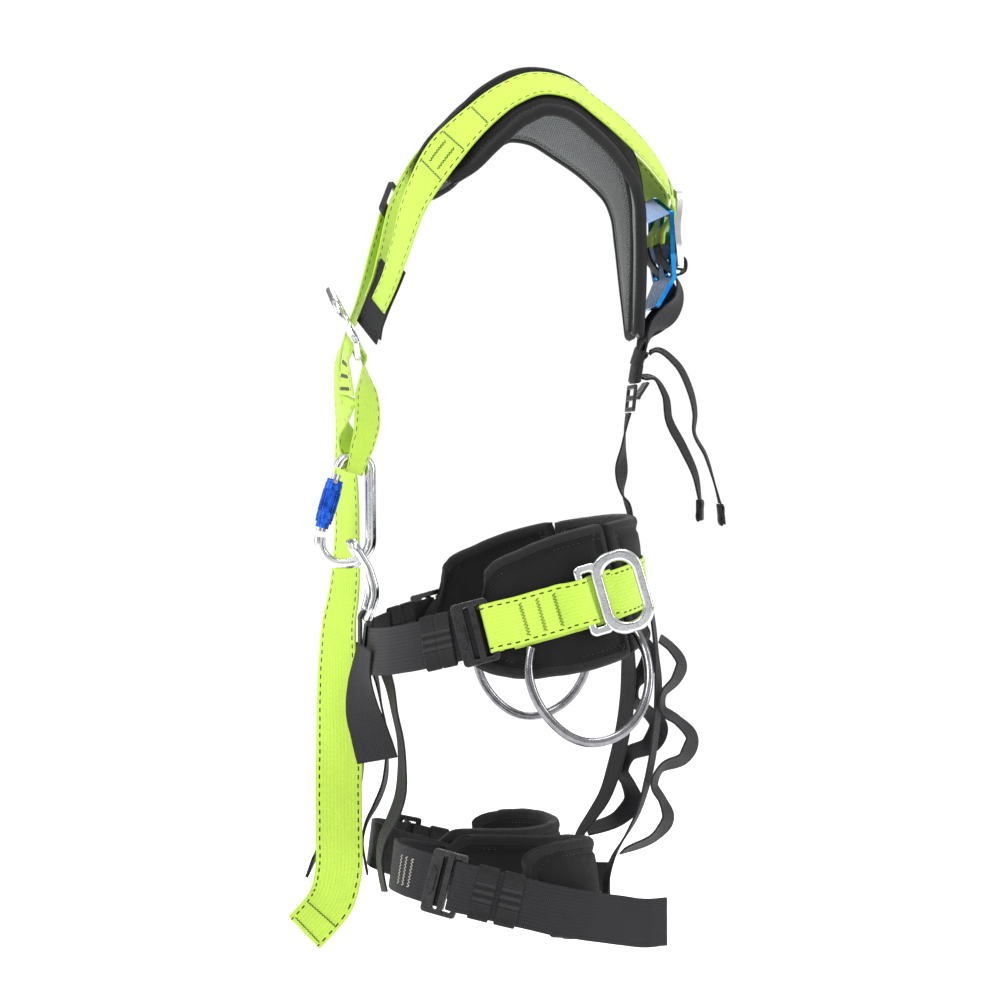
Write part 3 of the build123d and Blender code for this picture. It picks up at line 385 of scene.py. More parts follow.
def smooth(rows, step):
    """Samples along the curve through the rows, about step apart."""
    rows = [np.array(row, float) for row in rows]
    gaps = [max(float(np.linalg.norm(b[:3] - a[:3])), 0.01) for a, b in zip(rows, rows[1:])]
    rates = [(b - a) / g for a, b, g in zip(rows, rows[1:], gaps)]
    slopes = [rates[0]]
    for i in range(1, len(rows) - 1):
        share = gaps[i - 1] / (gaps[i - 1] + gaps[i])
        slopes.append(rates[i - 1] + (rates[i] - rates[i - 1]) * share)
    slopes.append(rates[-1])
    line = []
    for i, gap in enumerate(gaps):
        count = max(2, math.ceil(gap / step))
        for k in range(count):
            t = k / count
            line.append(
                rows[i] * (2 * t**3 - 3 * t**2 + 1)
                + slopes[i] * ((t**3 - 2 * t**2 + t) * gap)
                + rows[i + 1] * (3 * t**2 - 2 * t**3)
                + slopes[i + 1] * ((t**3 - t**2) * gap)
            )
    return np.array([*line, rows[-1]])


def unit(a):
    """Vectors of length 1."""
    return a / np.maximum(np.linalg.norm(a, axis=-1, keepdims=True), 1e-9)


class Route:
    """A ribbon's middle line with its across and outward directions, read by arc length."""

    def __init__(self, rows, step=2.5):
        line = smooth(rows, step)
        self.p, self.w = line[:, :3], line[:, 6]
        way = unit(np.gradient(self.p, axis=0))
        self.a = unit(np.cross(way, line[:, 3:6]))
        self.n = np.cross(self.a, way)
        self.s = np.concatenate([[0], np.cumsum(np.linalg.norm(np.diff(self.p, axis=0), axis=1))])
        self.length = float(self.s[-1])

    def at(self, s, u, h):
        """Points at arc length s, u across and h outward (arrays)."""
        s = np.asarray(s, float)
        u, h = np.asarray(u, float)[..., None], np.asarray(h, float)[..., None]
        return self.read(self.p, s) + unit(self.read(self.a, s)) * u + unit(self.read(self.n, s)) * h

    def read(self, vectors, s):
        return np.stack([np.interp(s, self.s, vectors[:, k]) for k in range(3)], -1)


def loops_mesh(rings, uvs, closed_ends=True, materials=None):
    """Quads between successive closed rings of points, with the ends closed."""
    n, m = rings.shape[:2]
    faces, kinds = [], []
    for i in range(n - 1):
        for j in range(m):
            k = (j + 1) % m
            faces.append((i * m + j, i * m + k, (i + 1) * m + k, (i + 1) * m + j))
            kinds.append(0 if materials is None else materials[j])
    if closed_ends:
        faces += [tuple(range(m - 1, -1, -1)), tuple(range((n - 1) * m, n * m))]
        kinds += [0, 0]
    return rings.reshape(-1, 3), faces, uvs.reshape(-1, 2), kinds


def webbing(rows, thickness=WEB, nominal=WIDE, hem=0.0):
    """A length of woven webbing: flat faces, rounded thicker selvedges, a slight wave."""
    route = Route(rows)
    half = thickness / 2 - 0.05
    edge = [(1.0, 0.0), (0.995, 0.55), (0.975, 0.95), (0.94, 1.08)]
    top = [(x, 1.0 + 0.06 * math.cos(x * 9)) for x in np.linspace(0.88, -0.88, ACROSS)]
    side = edge + top + [(-x, y) for x, y in edge[:0:-1]]
    profile = side + [(-x, -y) for x, y in side]
    px, py = np.array(profile).T
    s, w = route.s, route.w - TRIM
    wave = 0.18 * np.sin(s / 19.0) * np.cos(s / 7.3)
    lap = np.clip((s - (route.length - hem)) / 2.0, 0, 1) if hem else np.zeros_like(s)
    u = w[:, None] / 2 * px[None, :] * (1 + 0.004 * np.sin(s / 5.0))[:, None]
    h = py[None, :] * (half + 0.5 * lap[:, None]) + wave[:, None] * (1 - px[None, :] ** 2)
    points = route.at(np.repeat(s[:, None], len(px), 1), u, h)
    across = np.repeat((px * nominal / 2)[None, :], len(s), 0)
    uv = np.stack([across, np.repeat(s[:, None], len(px), 1)], -1)
    return loops_mesh(points, uv * MM)


def outline_distance(route, s, u):
    """How far points of the flat pad are from its outline."""
    top = np.stack([route.s, route.w / 2], -1)
    low = np.stack([route.s, -route.w / 2], -1)
    ring = np.concatenate([top, low[::-1], top[:1]])
    a, b = ring[:-1], ring[1:]
    d = b - a
    p = np.stack([s.ravel(), u.ravel()], -1)
    t = ((p[:, None] - a[None]) * d[None]).sum(-1) / np.maximum((d * d).sum(-1), 1e-9)[None]
    near = a[None] + np.clip(t, 0, 1)[..., None] * d[None]
    return np.linalg.norm(p[:, None] - near, axis=-1).min(1).reshape(s.shape)


def pad_height(d, thickness, crown):
    """Half thickness of a stuffed pad: round rim, sewn groove, soft crown inside it."""
    rim = thickness / 2 * np.sqrt(1 - (1 - np.clip(d / 5.0, 0, 1)) ** 2)
    sewn = 1.9 * np.exp(-(((d - GROOVE) / 1.7) ** 2))
    return rim - sewn + crown * np.clip((d - GROOVE) / 16.0, 0, 1) ** 0.6


def pad(rows, thickness, out_crown):
    """A padded panel with the groove that its stitching draws in."""
    route = Route(rows, 2.2)
    share = np.sin(np.linspace(-math.pi / 2, math.pi / 2, 45))
    s = np.repeat(route.s[:, None], len(share), 1)
    u = route.w[:, None] / 2 * share[None, :]
    d = outline_distance(route, s, u)
    ripple = 0.25 * np.sin(s / 11 + 1.3 * np.sin(u / 9)) * np.clip((d - 16) / 10, 0, 1)
    outer = route.at(s, u, pad_height(d, thickness, out_crown) + ripple)
    inner = route.at(s, u, -pad_height(d, thickness, IN_CROWN) - ripple)
    rings = np.concatenate([outer, inner[:, ::-1]], 1)
    flat_uv = np.stack([u, s], -1)
    uv = np.concatenate([flat_uv, flat_uv[:, ::-1]], 1) * MM
    m = len(share)
    kinds = [0] * (m - 1) + [1] * (m + 1)
    return route, loops_mesh(rings, uv, materials=kinds)


def outline(route, inset=0.0, step=2.5):
    """The pad's outline as evenly spaced points (s, u), with inward directions and running lengths."""
    low_s, high_s = route.s[0], route.s[-1]
    top = np.stack([route.s, route.w / 2], -1)
    low = np.stack([route.s, -route.w / 2], -1)[::-1]
    ends = []
    for s, w, sign in ((high_s, route.w[-1], 1), (low_s, route.w[0], -1)):
        ends.append(np.stack([np.full(9, s), sign * np.linspace(w / 2, -w / 2, 9)], -1))
    ring = np.concatenate([top, ends[0][1:-1], low, ends[1][1:-1]])
    total = np.linalg.norm(np.diff(np.concatenate([ring, ring[:1]]), axis=0), axis=1)
    run = np.concatenate([[0], np.cumsum(total)])
    count = int(run[-1] / step)
    t = np.linspace(0, run[-1], count, endpoint=False)
    closed = np.concatenate([ring, ring[:1]])
    ring = np.stack([np.interp(t, run, closed[:, k]) for k in (0, 1)], -1)
    for _ in range(6):
        ring = (np.roll(ring, 1, 0) + 2 * ring + np.roll(ring, -1, 0)) / 4
    way = unit(np.roll(ring, -1, 0) - np.roll(ring, 1, 0))
    inward = np.stack([way[:, 1], -way[:, 0]], -1)
    return ring + inward * inset, inward, t


def binding(route, thickness):
    """Ribbed tape folded over the pad's edge."""
    ring, inward, run = outline(route)
    # The tape's section: distance in from the outline, side of the pad, and height above it
    outer = [(TAPE_WIDTH, 1, -0.6), (TAPE_WIDTH, 1, 0.5), (TAPE_WIDTH - 0.8, 1, 0.75)]
    outer += [(5, 1, 0.8), (2.6, 1, 0.8), (1.1, 1, 0.8)]
    inner = [(inset, -1, height) for inset, _, height in outer[::-1]]
    section = [*outer, (0.1, 1, 0.5), (-0.7, 0, 0.0), *inner]
    points, uv = [], []
    for k, (d, side, lift) in enumerate(section):
        base = pad_height(np.array(max(d, 0.0)), thickness, 0.0) if side else 0.0
        spot = ring + inward * d
        s = np.clip(spot[:, 0], route.s[0] - 1, route.s[-1] + 1)
        over = spot[:, 0] - np.clip(spot[:, 0], route.s[0], route.s[-1])
        place = route.at(s, spot[:, 1], np.full(len(s), side * (float(base) + lift)))
        way = np.where(over[:, None] > 0, unit(route.p[-1] - route.p[-3]), unit(route.p[0] - route.p[2]))
        points.append(place + way * np.abs(over)[:, None])
        uv.append(np.stack([np.full(len(s), k * 1.5), run], -1))
    rings = np.stack(points, 1)
    rings = np.concatenate([rings, rings[:1]])
    coords = np.stack(uv, 1)
    last = coords[:1].copy()
    last[..., 1] = run[-1] + 2.5
    return loops_mesh(rings, np.concatenate([coords, last]) * MM, closed_ends=False)


def sleeve(place, inside, length, wall=1.2, waist_line=False):
    """A ribbed elastic band round the straps."""
    half_y, half_z = inside[0] / 2, inside[1] / 2
    angle = np.linspace(0, 2 * math.pi, BAND_POINTS, endpoint=False)
    c, s = np.cos(angle), np.sin(angle)

    def loop(grow):
        """The band's section, grown outward from the hole."""
        r = BAND_CORNER + grow
        flat_y, flat_z = half_y + grow - r, max(half_z + grow - r, 0.1)
        y = flat_y * np.sign(c) * np.abs(c) ** BAND_SQUARE + r * c
        z = flat_z * np.sign(s) * np.abs(s) ** BAND_SQUARE + r * s
        return np.stack([y, z], -1)

    n = int(length / 0.6)
    xs = np.linspace(-length / 2, length / 2, n)
    rib = 0.16 * np.cos(xs * 2 * math.pi / 2.0)
    if waist_line:
        rib = rib - 0.9 * np.exp(-((xs / 0.9) ** 2))
    ends = np.clip((length / 2 - np.abs(xs)) / 0.8, 0, 1) ** 0.5
    rings, uv = [], []
    for x, r, e in zip(xs, rib, ends):
        rings.append([place.at(x, y, z) for y, z in loop((wall + r) * (0.35 + 0.65 * e))])
        uv.append([(x, 4.0 * j / BAND_POINTS * half_y) for j in range(BAND_POINTS)])
    for x in (xs[-1], xs[len(xs) // 2], xs[0]):
        rings.append([place.at(x, y, z) for y, z in loop(0.05)])
        uv.append([(x, 4.0 * j / BAND_POINTS * half_y) for j in range(BAND_POINTS)])
    rings.append(rings[0])
    uv.append(uv[0])
    return loops_mesh(np.array(rings, float), np.array(uv, float) * MM, closed_ends=False)


def mirrored(part):
    points, faces, uv, kinds = part
    return points * MIRROR, [tuple(reversed(f)) for f in faces], uv, kinds


def make(name, parts, materials, nodes=()):
    """One mesh object, in metres, of those parts, riding on the harness."""
    points, faces, uv, kinds, base = [], [], [], [], 0
    for p, f, t, k in parts:
        points.append(p)
        faces += [tuple(i + base for i in face) for face in f]
        uv.append(t)
        kinds += k
        base += len(p)
    mesh = bpy.data.meshes.new(name)
    mesh.from_pydata((np.concatenate(points) * MM).tolist(), [], faces)
    coords = np.concatenate(uv)
    layer = mesh.uv_layers.new(name="UVMap")
    index = np.zeros(len(mesh.loops), int)
    mesh.loops.foreach_get("vertex_index", index)
    layer.data.foreach_set("uv", coords[index].astype(np.float32).ravel())
    for m in materials:
        mesh.materials.append(m)
    if len(materials) > 1:
        mesh.polygons.foreach_set("material_index", np.array(kinds, np.int32))
    mesh.polygons.foreach_set("use_smooth", np.ones(len(faces), bool))
    mesh.update()
    made = bpy.data.objects.new(name, mesh)
    bpy.context.scene.collection.objects.link(made)
    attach(made, HARNESS)
    if nodes:
        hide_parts(*nodes)
    return made


def thread(name, lines, material, radius=0.5):
    """Sewing thread along lines of points."""
    curve = bpy.data.curves.new(name, "CURVE")
    curve.dimensions, curve.bevel_depth, curve.bevel_resolution = "3D", radius * MM, 1
    curve.use_fill_caps = True
    for line in lines:
        spline = curve.splines.new("POLY")
        spline.points.add(len(line) - 1)
        for point, co in zip(spline.points, line):
            point.co = (co[0] * MM, co[1] * MM, co[2] * MM, 1)
    curve.materials.append(material)
    made = bpy.data.objects.new(name, curve)
    bpy.context.scene.collection.objects.link(made)
    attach(made, HARNESS)


def zigzag(route, s0, u0, s1, u1, height=1.15, swing=1.3):
    """One bar of zigzag stitching from (s0, u0) to (s1, u1)."""
    a, b = np.array([s0, u0], float), np.array([s1, u1], float)
    count = max(4, int(np.linalg.norm(b - a) / STITCH_PITCH))
    cross = unit(np.array([-(b - a)[1], (b - a)[0]]))
    k = np.arange(count + 1)
    sideways = swing * np.where(k % 2, 1, -1)
    spots = a + (b - a) * (k / count)[:, None] + cross * sideways[:, None]
    return route.at(spots[:, 0], spots[:, 1], np.full(count + 1, height))


def running(route, thickness, side):
    """Running stitches in the pad's groove, on its outer side (1) or its inner side (-1)."""
    ring, _, _ = outline(route, GROOVE, 1.0)
    crown = OUT_CROWN if side > 0 else IN_CROWN
    lines = []
    for i in range(0, len(ring) - 4, 5):
        spot = ring[i : i + 4]
        d = outline_distance(route, spot[:, 0], spot[:, 1])
        h = pad_height(d, thickness, crown) + STITCH_LIFTS
        lines.append(route.at(spot[:, 0], spot[:, 1], side * h))
    return lines


def flipped(lines):
    return [line * MIRROR for line in lines]


# ---------------------------------------------------------------- materials


class Nodes:
    """Short names for building one material's nodes."""

    def __init__(self, name, **sockets):
        self.material = bpy.data.materials.new(name)
        self.material.use_nodes = True
        self.tree = self.material.node_tree
        self.shader = self.tree.nodes["Principled BSDF"]
        for key, value in sockets.items():
            self.shader.inputs[key.replace("_", " ")].default_value = value

    def put(self, value, socket):
        if isinstance(value, bpy.types.NodeSocket):
            self.tree.links.new(value, socket)
        else:
            socket.default_value = value

    def math(self, kind, a, b=0.0, c=None):
        node = self.tree.nodes.new("ShaderNodeMath")
        node.operation = kind
        self.put(a, node.inputs[0])
        self.put(b, node.inputs[1])
        if c is not None:
            self.put(c, node.inputs[2])
        return node.outputs[0]

    def uv(self):
        node = self.tree.nodes.new("ShaderNodeTexCoord")
        split = self.tree.nodes.new("ShaderNodeSeparateXYZ")
        self.tree.links.new(node.outputs["UV"], split.inputs[0])
        return split.outputs["X"], split.outputs["Y"]

    def place(self):
        return self.tree.nodes.new("ShaderNodeTexCoord").outputs["Object"]

    def noise(self, scale, detail=3.0, rough=0.55):
        node = self.tree.nodes.new("ShaderNodeTexNoise")
        node.inputs["Scale"].default_value = scale
        node.inputs["Detail"].default_value = detail
        node.inputs["Roughness"].default_value = rough
        self.tree.links.new(self.place(), node.inputs["Vector"])
        return node.outputs["Fac"]

    def wave(self, value, period):
        """A cosine of the value, from 0 to 1."""
        turn = self.math("MULTIPLY", value, 2 * math.pi / period)
        return self.math("MULTIPLY_ADD", self.math("COSINE", turn), 0.5, 0.5)

    def ramp(self, value, low, high, out_low=0.0, out_high=1.0):
        node = self.tree.nodes.new("ShaderNodeMapRange")
        node.interpolation_type = "SMOOTHSTEP"
        self.put(value, node.inputs["Value"])
        keys = ("From Min", "From Max", "To Min", "To Max")
        for key, number in zip(keys, (low, high, out_low, out_high)):
            node.inputs[key].default_value = number
        return node.outputs["Result"]

    def mix(self, share, a, b):
        node = self.tree.nodes.new("ShaderNodeMix")
        node.data_type = "RGBA"
        self.put(share, node.inputs["Factor"])
        for socket, value in ((node.inputs["A"], a), (node.inputs["B"], b)):
            self.put((*value, 1.0) if isinstance(value, tuple) else value, socket)
        return node.outputs["Result"]

    def bump(self, height, distance):
        node = self.tree.nodes.new("ShaderNodeBump")
        node.inputs["Strength"].default_value = 1.0
        node.inputs["Distance"].default_value = distance
        self.tree.links.new(height, node.inputs["Height"])
        self.put(node.outputs["Normal"], self.shader.inputs["Normal"])

    def colour(self, value):
        self.put(value, self.shader.inputs["Base Color"])

    def rough(self, value):
        self.put(value, self.shader.inputs["Roughness"])


def woven(name, base, dark, tracer=None, rib=1.25, glow=0.0, sheen=0.25, coarse=0.35):
    """Webbing: twill ribs with painted shade in their grooves, fuzzy yarn, painted shade on the rounded
    edges, dashed tracers where it has them, and a painted glow where asked.
    """
    m = Nodes(name, Sheen_Weight=sheen, Sheen_Roughness=0.4, Specular_IOR_Level=0.28)
    u, v = m.uv()
    half_width, tracer_at = 0.0221, 0.0186
    column = m.wave(u, 0.0034)
    lean = m.math("MULTIPLY", m.math("PINGPONG", u, 0.0017), 0.7)
    ribs = m.wave(m.math("ADD", v, lean), rib * MM)
    weave = m.math("ADD", m.math("MULTIPLY", ribs, 0.75), m.math("MULTIPLY", column, 0.25))
    yarn = m.noise(900.0, 2.0)
    cloud = m.noise(38.0, 4.0)
    # Painted shade: the colour darkens toward the dark tone in the rib grooves, where the bump is low, mixed
    # with the yarn's own random tone.
    groove_shade_and_yarn = m.math("MULTIPLY_ADD", weave, 0.45, m.math("MULTIPLY", yarn, 0.55))
    colour = m.mix(m.ramp(groove_shade_and_yarn, 0.18, 0.75), dark, base)
    colour = m.mix(m.ramp(cloud, 0.35, 0.75, 0.0, coarse), colour, tuple(min(1.0, c * 0.72) for c in base))
    # Painted shade: the rounded selvedges of 45 mm webbing are darkened to 0.6 of the base colour.
    edge = m.ramp(m.math("ABSOLUTE", u), 0.0207, half_width, 0.0, 0.35)
    colour = m.mix(edge, colour, tuple(c * 0.6 for c in base))
    if tracer:
        line = m.math("ABSOLUTE", m.math("SUBTRACT", m.math("ABSOLUTE", u), tracer_at))
        on_line = m.ramp(line, 0.00055, 0.00085, 1.0, 0.0)
        dash = m.ramp(m.wave(v, 0.0082), 0.42, 0.56)
        colour = m.mix(m.math("MULTIPLY", on_line, dash), colour, tracer)
    m.colour(colour)
    m.rough(m.ramp(weave, 0.0, 1.0, 0.78, 0.55))
    # Painted glow: the webbing's colour is also given out as light.
    if glow:
        m.put(colour, m.shader.inputs["Emission Color"])
        m.shader.inputs["Emission Strength"].default_value = glow
    m.bump(m.math("ADD", weave, m.math("MULTIPLY", yarn, 0.5)), 0.00028)
    return m.material


def cloth(name, base, pale):
    """Smooth coated pad cloth with a fine knit and rubbed places."""
    m = Nodes(name, Sheen_Weight=0.04, Sheen_Roughness=0.5, Specular_IOR_Level=0.22)
    u, v = m.uv()
    knit = m.math("MULTIPLY", m.wave(u, 0.0011), m.wave(v, 0.0009))
    rub = m.noise(22.0, 5.0, 0.65)
    lint = m.noise(1400.0, 2.0)
    colour = m.mix(m.ramp(rub, 0.42, 0.8, 0.0, 0.6), base, pale)
    m.colour(m.mix(m.ramp(lint, 0.62, 0.75, 0.0, 0.5), colour, tuple(c * 1.8 for c in pale)))
    m.rough(m.ramp(rub, 0.3, 0.7, 0.62, 0.82))
    m.bump(m.math("ADD", knit, m.math("MULTIPLY", rub, 2.2)), 0.00022)
    return m.material


def ribbed(name, base, pale, period=1.1):
    """Ribbed tape or elastic, with painted highlights on the rib crests."""
    m = Nodes(name, Sheen_Weight=0.05, Specular_IOR_Level=0.25)
    u, v = m.uv()
    ribs = m.wave(v, period * MM)
    fuzz = m.noise(700.0, 2.0)
    # Painted highlight: the rib crests are paler, broken up by the fuzz's random tone.
    m.colour(m.mix(m.ramp(m.math("MULTIPLY", ribs, fuzz), 0.1, 0.5), base, pale))
    m.rough(m.ramp(fuzz, 0.3, 0.7, 0.55, 0.8))
    m.bump(ribs, 0.0004)
    return m.material


def mesh_lining(name):
    """Grey spacer mesh with rows of small holes."""
    m = Nodes(name, Sheen_Weight=0.2, Specular_IOR_Level=0.25)
    u, v = m.uv()
    offset = m.math("MULTIPLY", m.math("ROUND", m.math("DIVIDE", v, 0.0024)), 0.0014)
    holes = m.math("MULTIPLY", m.wave(m.math("ADD", u, offset), 0.0028), m.wave(v, 0.0024))
    open_ = m.ramp(holes, 0.42, 0.62)
    fuzz = m.noise(600.0, 3.0)
    solid = m.mix(m.ramp(fuzz, 0.3, 0.7), (0.10, 0.105, 0.11), (0.19, 0.20, 0.21))
    m.colour(m.mix(open_, solid, (0.012, 0.012, 0.013)))
    m.rough(m.ramp(fuzz, 0.3, 0.7, 0.7, 0.9))
    m.bump(m.math("SUBTRACT", 1.0, open_), 0.0006)
    return m.material


def metal(name, base, pale, rough=(0.10, 0.24), grain=60.0, metallic=1.0, pits=0.00005, coat=0.0):
    """Worn metal: soft clouding, fine scratches and faint pitting."""
    m = Nodes(name, Metallic=metallic, Coat_Weight=coat, Coat_Roughness=0.12)
    cloud = m.noise(grain, 5.0, 0.6)
    fine = m.noise(grain * 22, 3.0, 0.7)
    scratch = m.noise(grain * 7, 8.0, 0.85)
    m.colour(m.mix(m.ramp(cloud, 0.3, 0.7), base, pale))
    mark = m.math("MULTIPLY_ADD", m.ramp(scratch, 0.5, 0.68), 0.35, m.math("MULTIPLY", cloud, 0.65))
    m.rough(m.ramp(mark, 0.15, 0.75, rough[0], rough[1]))
    m.bump(m.math("ADD", fine, m.math("MULTIPLY", cloud, 1.5)), pits)
    return m.material


def knurled(name, base, pale):
    """Anodised twist sleeve with fine grooves round it."""
    m = Nodes(name, Metallic=1.0)
    split = m.tree.nodes.new("ShaderNodeSeparateXYZ")
    m.tree.links.new(m.place(), split.inputs[0])
    up, forward = split.outputs["Z"], split.outputs["Y"]
    along = m.math("ADD", m.math("MULTIPLY", up, 0.96), m.math("MULTIPLY", forward, 0.28))
    rings = m.wave(along, 0.0016)
    rows = m.wave(split.outputs["X"], 0.0015)
    cloud = m.noise(160.0, 4.0)
    m.colour(m.mix(m.ramp(cloud, 0.3, 0.7), base, pale))
    m.rough(m.ramp(cloud, 0.3, 0.7, 0.2, 0.36))
    m.bump(m.math("MULTIPLY", rings, rows), 0.0003)
    return m.material


def plain_thread(name, base, pale):
    m = Nodes(name, Sheen_Weight=0.3)
    twist = m.noise(1600.0, 2.0)
    m.colour(m.mix(m.ramp(twist, 0.35, 0.65), base, pale))
    m.rough(m.ramp(twist, 0.3, 0.7, 0.5, 0.75))
    m.bump(twist, 0.0001)
    return m.material


# In each webbing the second colour is the painted shade of the rib grooves, mixed with the yarn's tone.
HI_VIS = woven(
    "hi_vis_webbing", (0.62, 0.88, 0.11), (0.37, 0.58, 0.05), (0.010, 0.018, 0.010),
    # A painted glow: the hi-vis colour is also given out as light.
    glow=0.06, sheen=0.15, coarse=0.3,
)
BLACK = woven("black_webbing", (0.022, 0.022, 0.026), (0.002, 0.002, 0.0025), rib=1.9, sheen=0.06)
CLOTH = cloth("pad_cloth", (0.0035, 0.0035, 0.004), (0.009, 0.009, 0.0095))
TAPE = ribbed("binding_tape", (0.003, 0.003, 0.0035), (0.018, 0.018, 0.019))
LINING = mesh_lining("mesh_lining")
ELASTIC = ribbed("elastic", (0.006, 0.006, 0.007), (0.028, 0.028, 0.03), 0.9)
STEEL = metal("forged_steel", (0.58, 0.59, 0.61), (0.74, 0.75, 0.77), (0.08, 0.24))
ALLOY = metal("polished_alloy", (0.66, 0.67, 0.70), (0.82, 0.83, 0.85), (0.05, 0.16), 80.0)
TUBE = metal("tube_alloy", (0.20, 0.20, 0.215), (0.30, 0.30, 0.32), (0.16, 0.30), 120.0)
BLUE_PLATE = metal("blue_plate", (0.004, 0.13, 0.42), (0.012, 0.22, 0.55), (0.22, 0.36))
BLUE_SLEEVE = knurled("blue_sleeve", (0.015, 0.085, 0.50), (0.04, 0.15, 0.70))
BRASS = metal("brass", (0.62, 0.44, 0.16), (0.80, 0.62, 0.28), (0.14, 0.26))
BLACK_METAL = metal(
    "black_coat", (0.010, 0.010, 0.011), (0.022, 0.022, 0.024), (0.24, 0.42),
    grain=140.0, metallic=0.25, pits=0.00012, coat=0.25,
)
DARK_THREAD = plain_thread("dark_thread", (0.006, 0.009, 0.006), (0.02, 0.028, 0.018))
CREAM_THREAD = plain_thread("cream_thread", (0.45, 0.44, 0.38), (0.72, 0.70, 0.62))
BLACK_THREAD = plain_thread("black_thread", (0.012, 0.012, 0.013), (0.05, 0.05, 0.052))

HARD = {
    "side_d_left": STEEL, "side_d_right": STEEL, "sternal_d": STEEL, "dorsal_d": STEEL,
    "ventral_ring": STEEL, "carabiner_body": ALLOY, "carabiner_gate": ALLOY,
    "carabiner_sleeve": BLUE_SLEEVE, "carabiner_pin": BRASS, "dorsal_plate": BLUE_PLATE,
    "gear_loop_left": TUBE, "gear_loop_right": TUBE, "back_buckle": BLACK_METAL,
    "back_buckle_lever": BLACK_METAL, "chest_buckle": BLACK_METAL,
    "waist_buckle_left": BLACK_METAL, "waist_buckle_right": BLACK_METAL,
    "waist_buckle_bar_left": BLACK_METAL, "waist_buckle_bar_right": BLACK_METAL,
    "leg_buckle_left": BLACK_METAL, "leg_buckle_right": BLACK_METAL,
    "leg_buckle_bar_left": BLACK_METAL, "leg_buckle_bar_right": BLACK_METAL,
}
for node, material in HARD.items():
    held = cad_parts[node]
    held.data.materials.clear()
    held.data.materials.append(material)

# ---------------------------------------------------------------- pads


def build_pad(base, rows, thickness, lining, pair=True, out_crown=OUT_CROWN):
    """A pad, or a mirrored pair: its panel, its bound edge and its stitching."""
    route, body = pad(rows, thickness, out_crown)
    tape = binding(route, thickness)
    stitches = running(route, thickness, 1) + running(route, thickness, -1)
    sides = (("_left", False), ("_right", True)) if pair else (("", False),)
    for tail, flip in sides:
        name = base + tail
        half = mirrored(body) if flip else body
        panel = make(name + "_panel", [half], [CLOTH, lining], [name])
        make(name + "_binding", [mirrored(tape) if flip else tape], [TAPE])
        thread(name + "_stitching", flipped(stitches) if flip else stitches, BLACK_THREAD, 0.3)


build_pad("waist_pad", waist_pad_rows(), PAD, CLOTH)
build_pad("lumbar_pad", lumbar_pad_rows(), PAD, CLOTH, pair=False)
build_pad("leg_pad", leg_pad_rows(), PAD, CLOTH)
build_pad("shoulder_pad", SHOULDER_PAD, YOKE_PAD, LINING, out_crown=0.5)

# ---------------------------------------------------------------- webbing


def strap_pair(node, rows, material, slot, stitches=None, colour=None, **kind):
    """A strap on the left and its mirror on the right, with the stitches that a route gets."""
    part = webbing(rows, **kind)
    route = Route(rows)
    lines = stitches(route) if stitches else []
    for tail, flip in (("_left", False), ("_right", True)):
        make(node + tail + "_webbing", [mirrored(part) if flip else part], [material], [node + tail])
        if lines:
            thread(node + tail + "_stitches", flipped(lines) if flip else lines, colour)


def bars_across(route, places, reach, **kind):
    return [zigzag(route, s, -reach, s, reach, **kind) for s in places]


def bars_along(route, s0, s1, offsets, **kind):
    return [zigzag(route, s0, u, s1, u, **kind) for u in offsets]


def nearest(route, spot):
    """The arc length at which the route comes nearest to a spot."""
    return float(route.s[np.argmin(np.linalg.norm(route.p - np.array(spot), axis=1))])


def shoulder_stitches(route):
    """A sewn box in front of the shoulder, and single bars further along."""
    box = nearest(route, SHOULDER_STRAP[4][:3])
    top = nearest(route, SHOULDER_STRAP[7][:3])
    lines = bars_along(route, box - 12, box + 12, (-7, 7), swing=1.1)
    lines += bars_across(route, (box - 17, box + 17), 17, swing=0.5)
    return lines + bars_across(route, (top - 60, route.length - 60), 17, swing=0.8)


def belt_stitches(route):
    """Three bars beside the waist buckle."""
    middle = nearest(route, waist(2.2, SECOND)[:3])
    return bars_across(route, [middle + s for s in (-16, 0, 16)], 15, swing=1.6)


def leg_stitches(route):
    """Three bars where the leg strap's end is sewn."""
    return bars_across(route, [route.length - s for s in (38, 47, 56)], 13, swing=1.3)


for tail, rows in (("_left", SHOULDER_STRAP_LEFT), ("_right", SHOULDER_STRAP)):
    part, lines = webbing(rows), shoulder_stitches(Route(rows))
    if tail == "_right":
        part, lines = mirrored(part), flipped(lines)
    make("shoulder_strap" + tail + "_webbing", [part], [HI_VIS], ["shoulder_strap" + tail])
    thread("shoulder_strap" + tail + "_stitches", lines, DARK_THREAD)
strap_pair("waist_webbing", waist_webbing_rows(), HI_VIS, "hi_vis_webbing", belt_stitches, DARK_THREAD)
strap_pair("waist_strap", waist_strap_rows(), BLACK, "black_webbing")
strap_pair("leg_strap", leg_strap_rows(), BLACK, "black_webbing", leg_stitches, CREAM_THREAD)
strap_pair("leg_tail", leg_tail_rows(), BLACK, "black_webbing", hem=22.0)


def single(node, routes, material, slot, **kind):
    return make(node + "_webbing", [webbing(rows, **kind) for rows in routes], [material], [node])


def both(node, rows, material, slot, **kind):
    part = webbing(rows, **kind)
    return make(node + "_webbing", [part, mirrored(part)], [material], [node])


def moved(rows, y):
    return [(row[0], row[1] + y, *row[2:]) for row in rows]


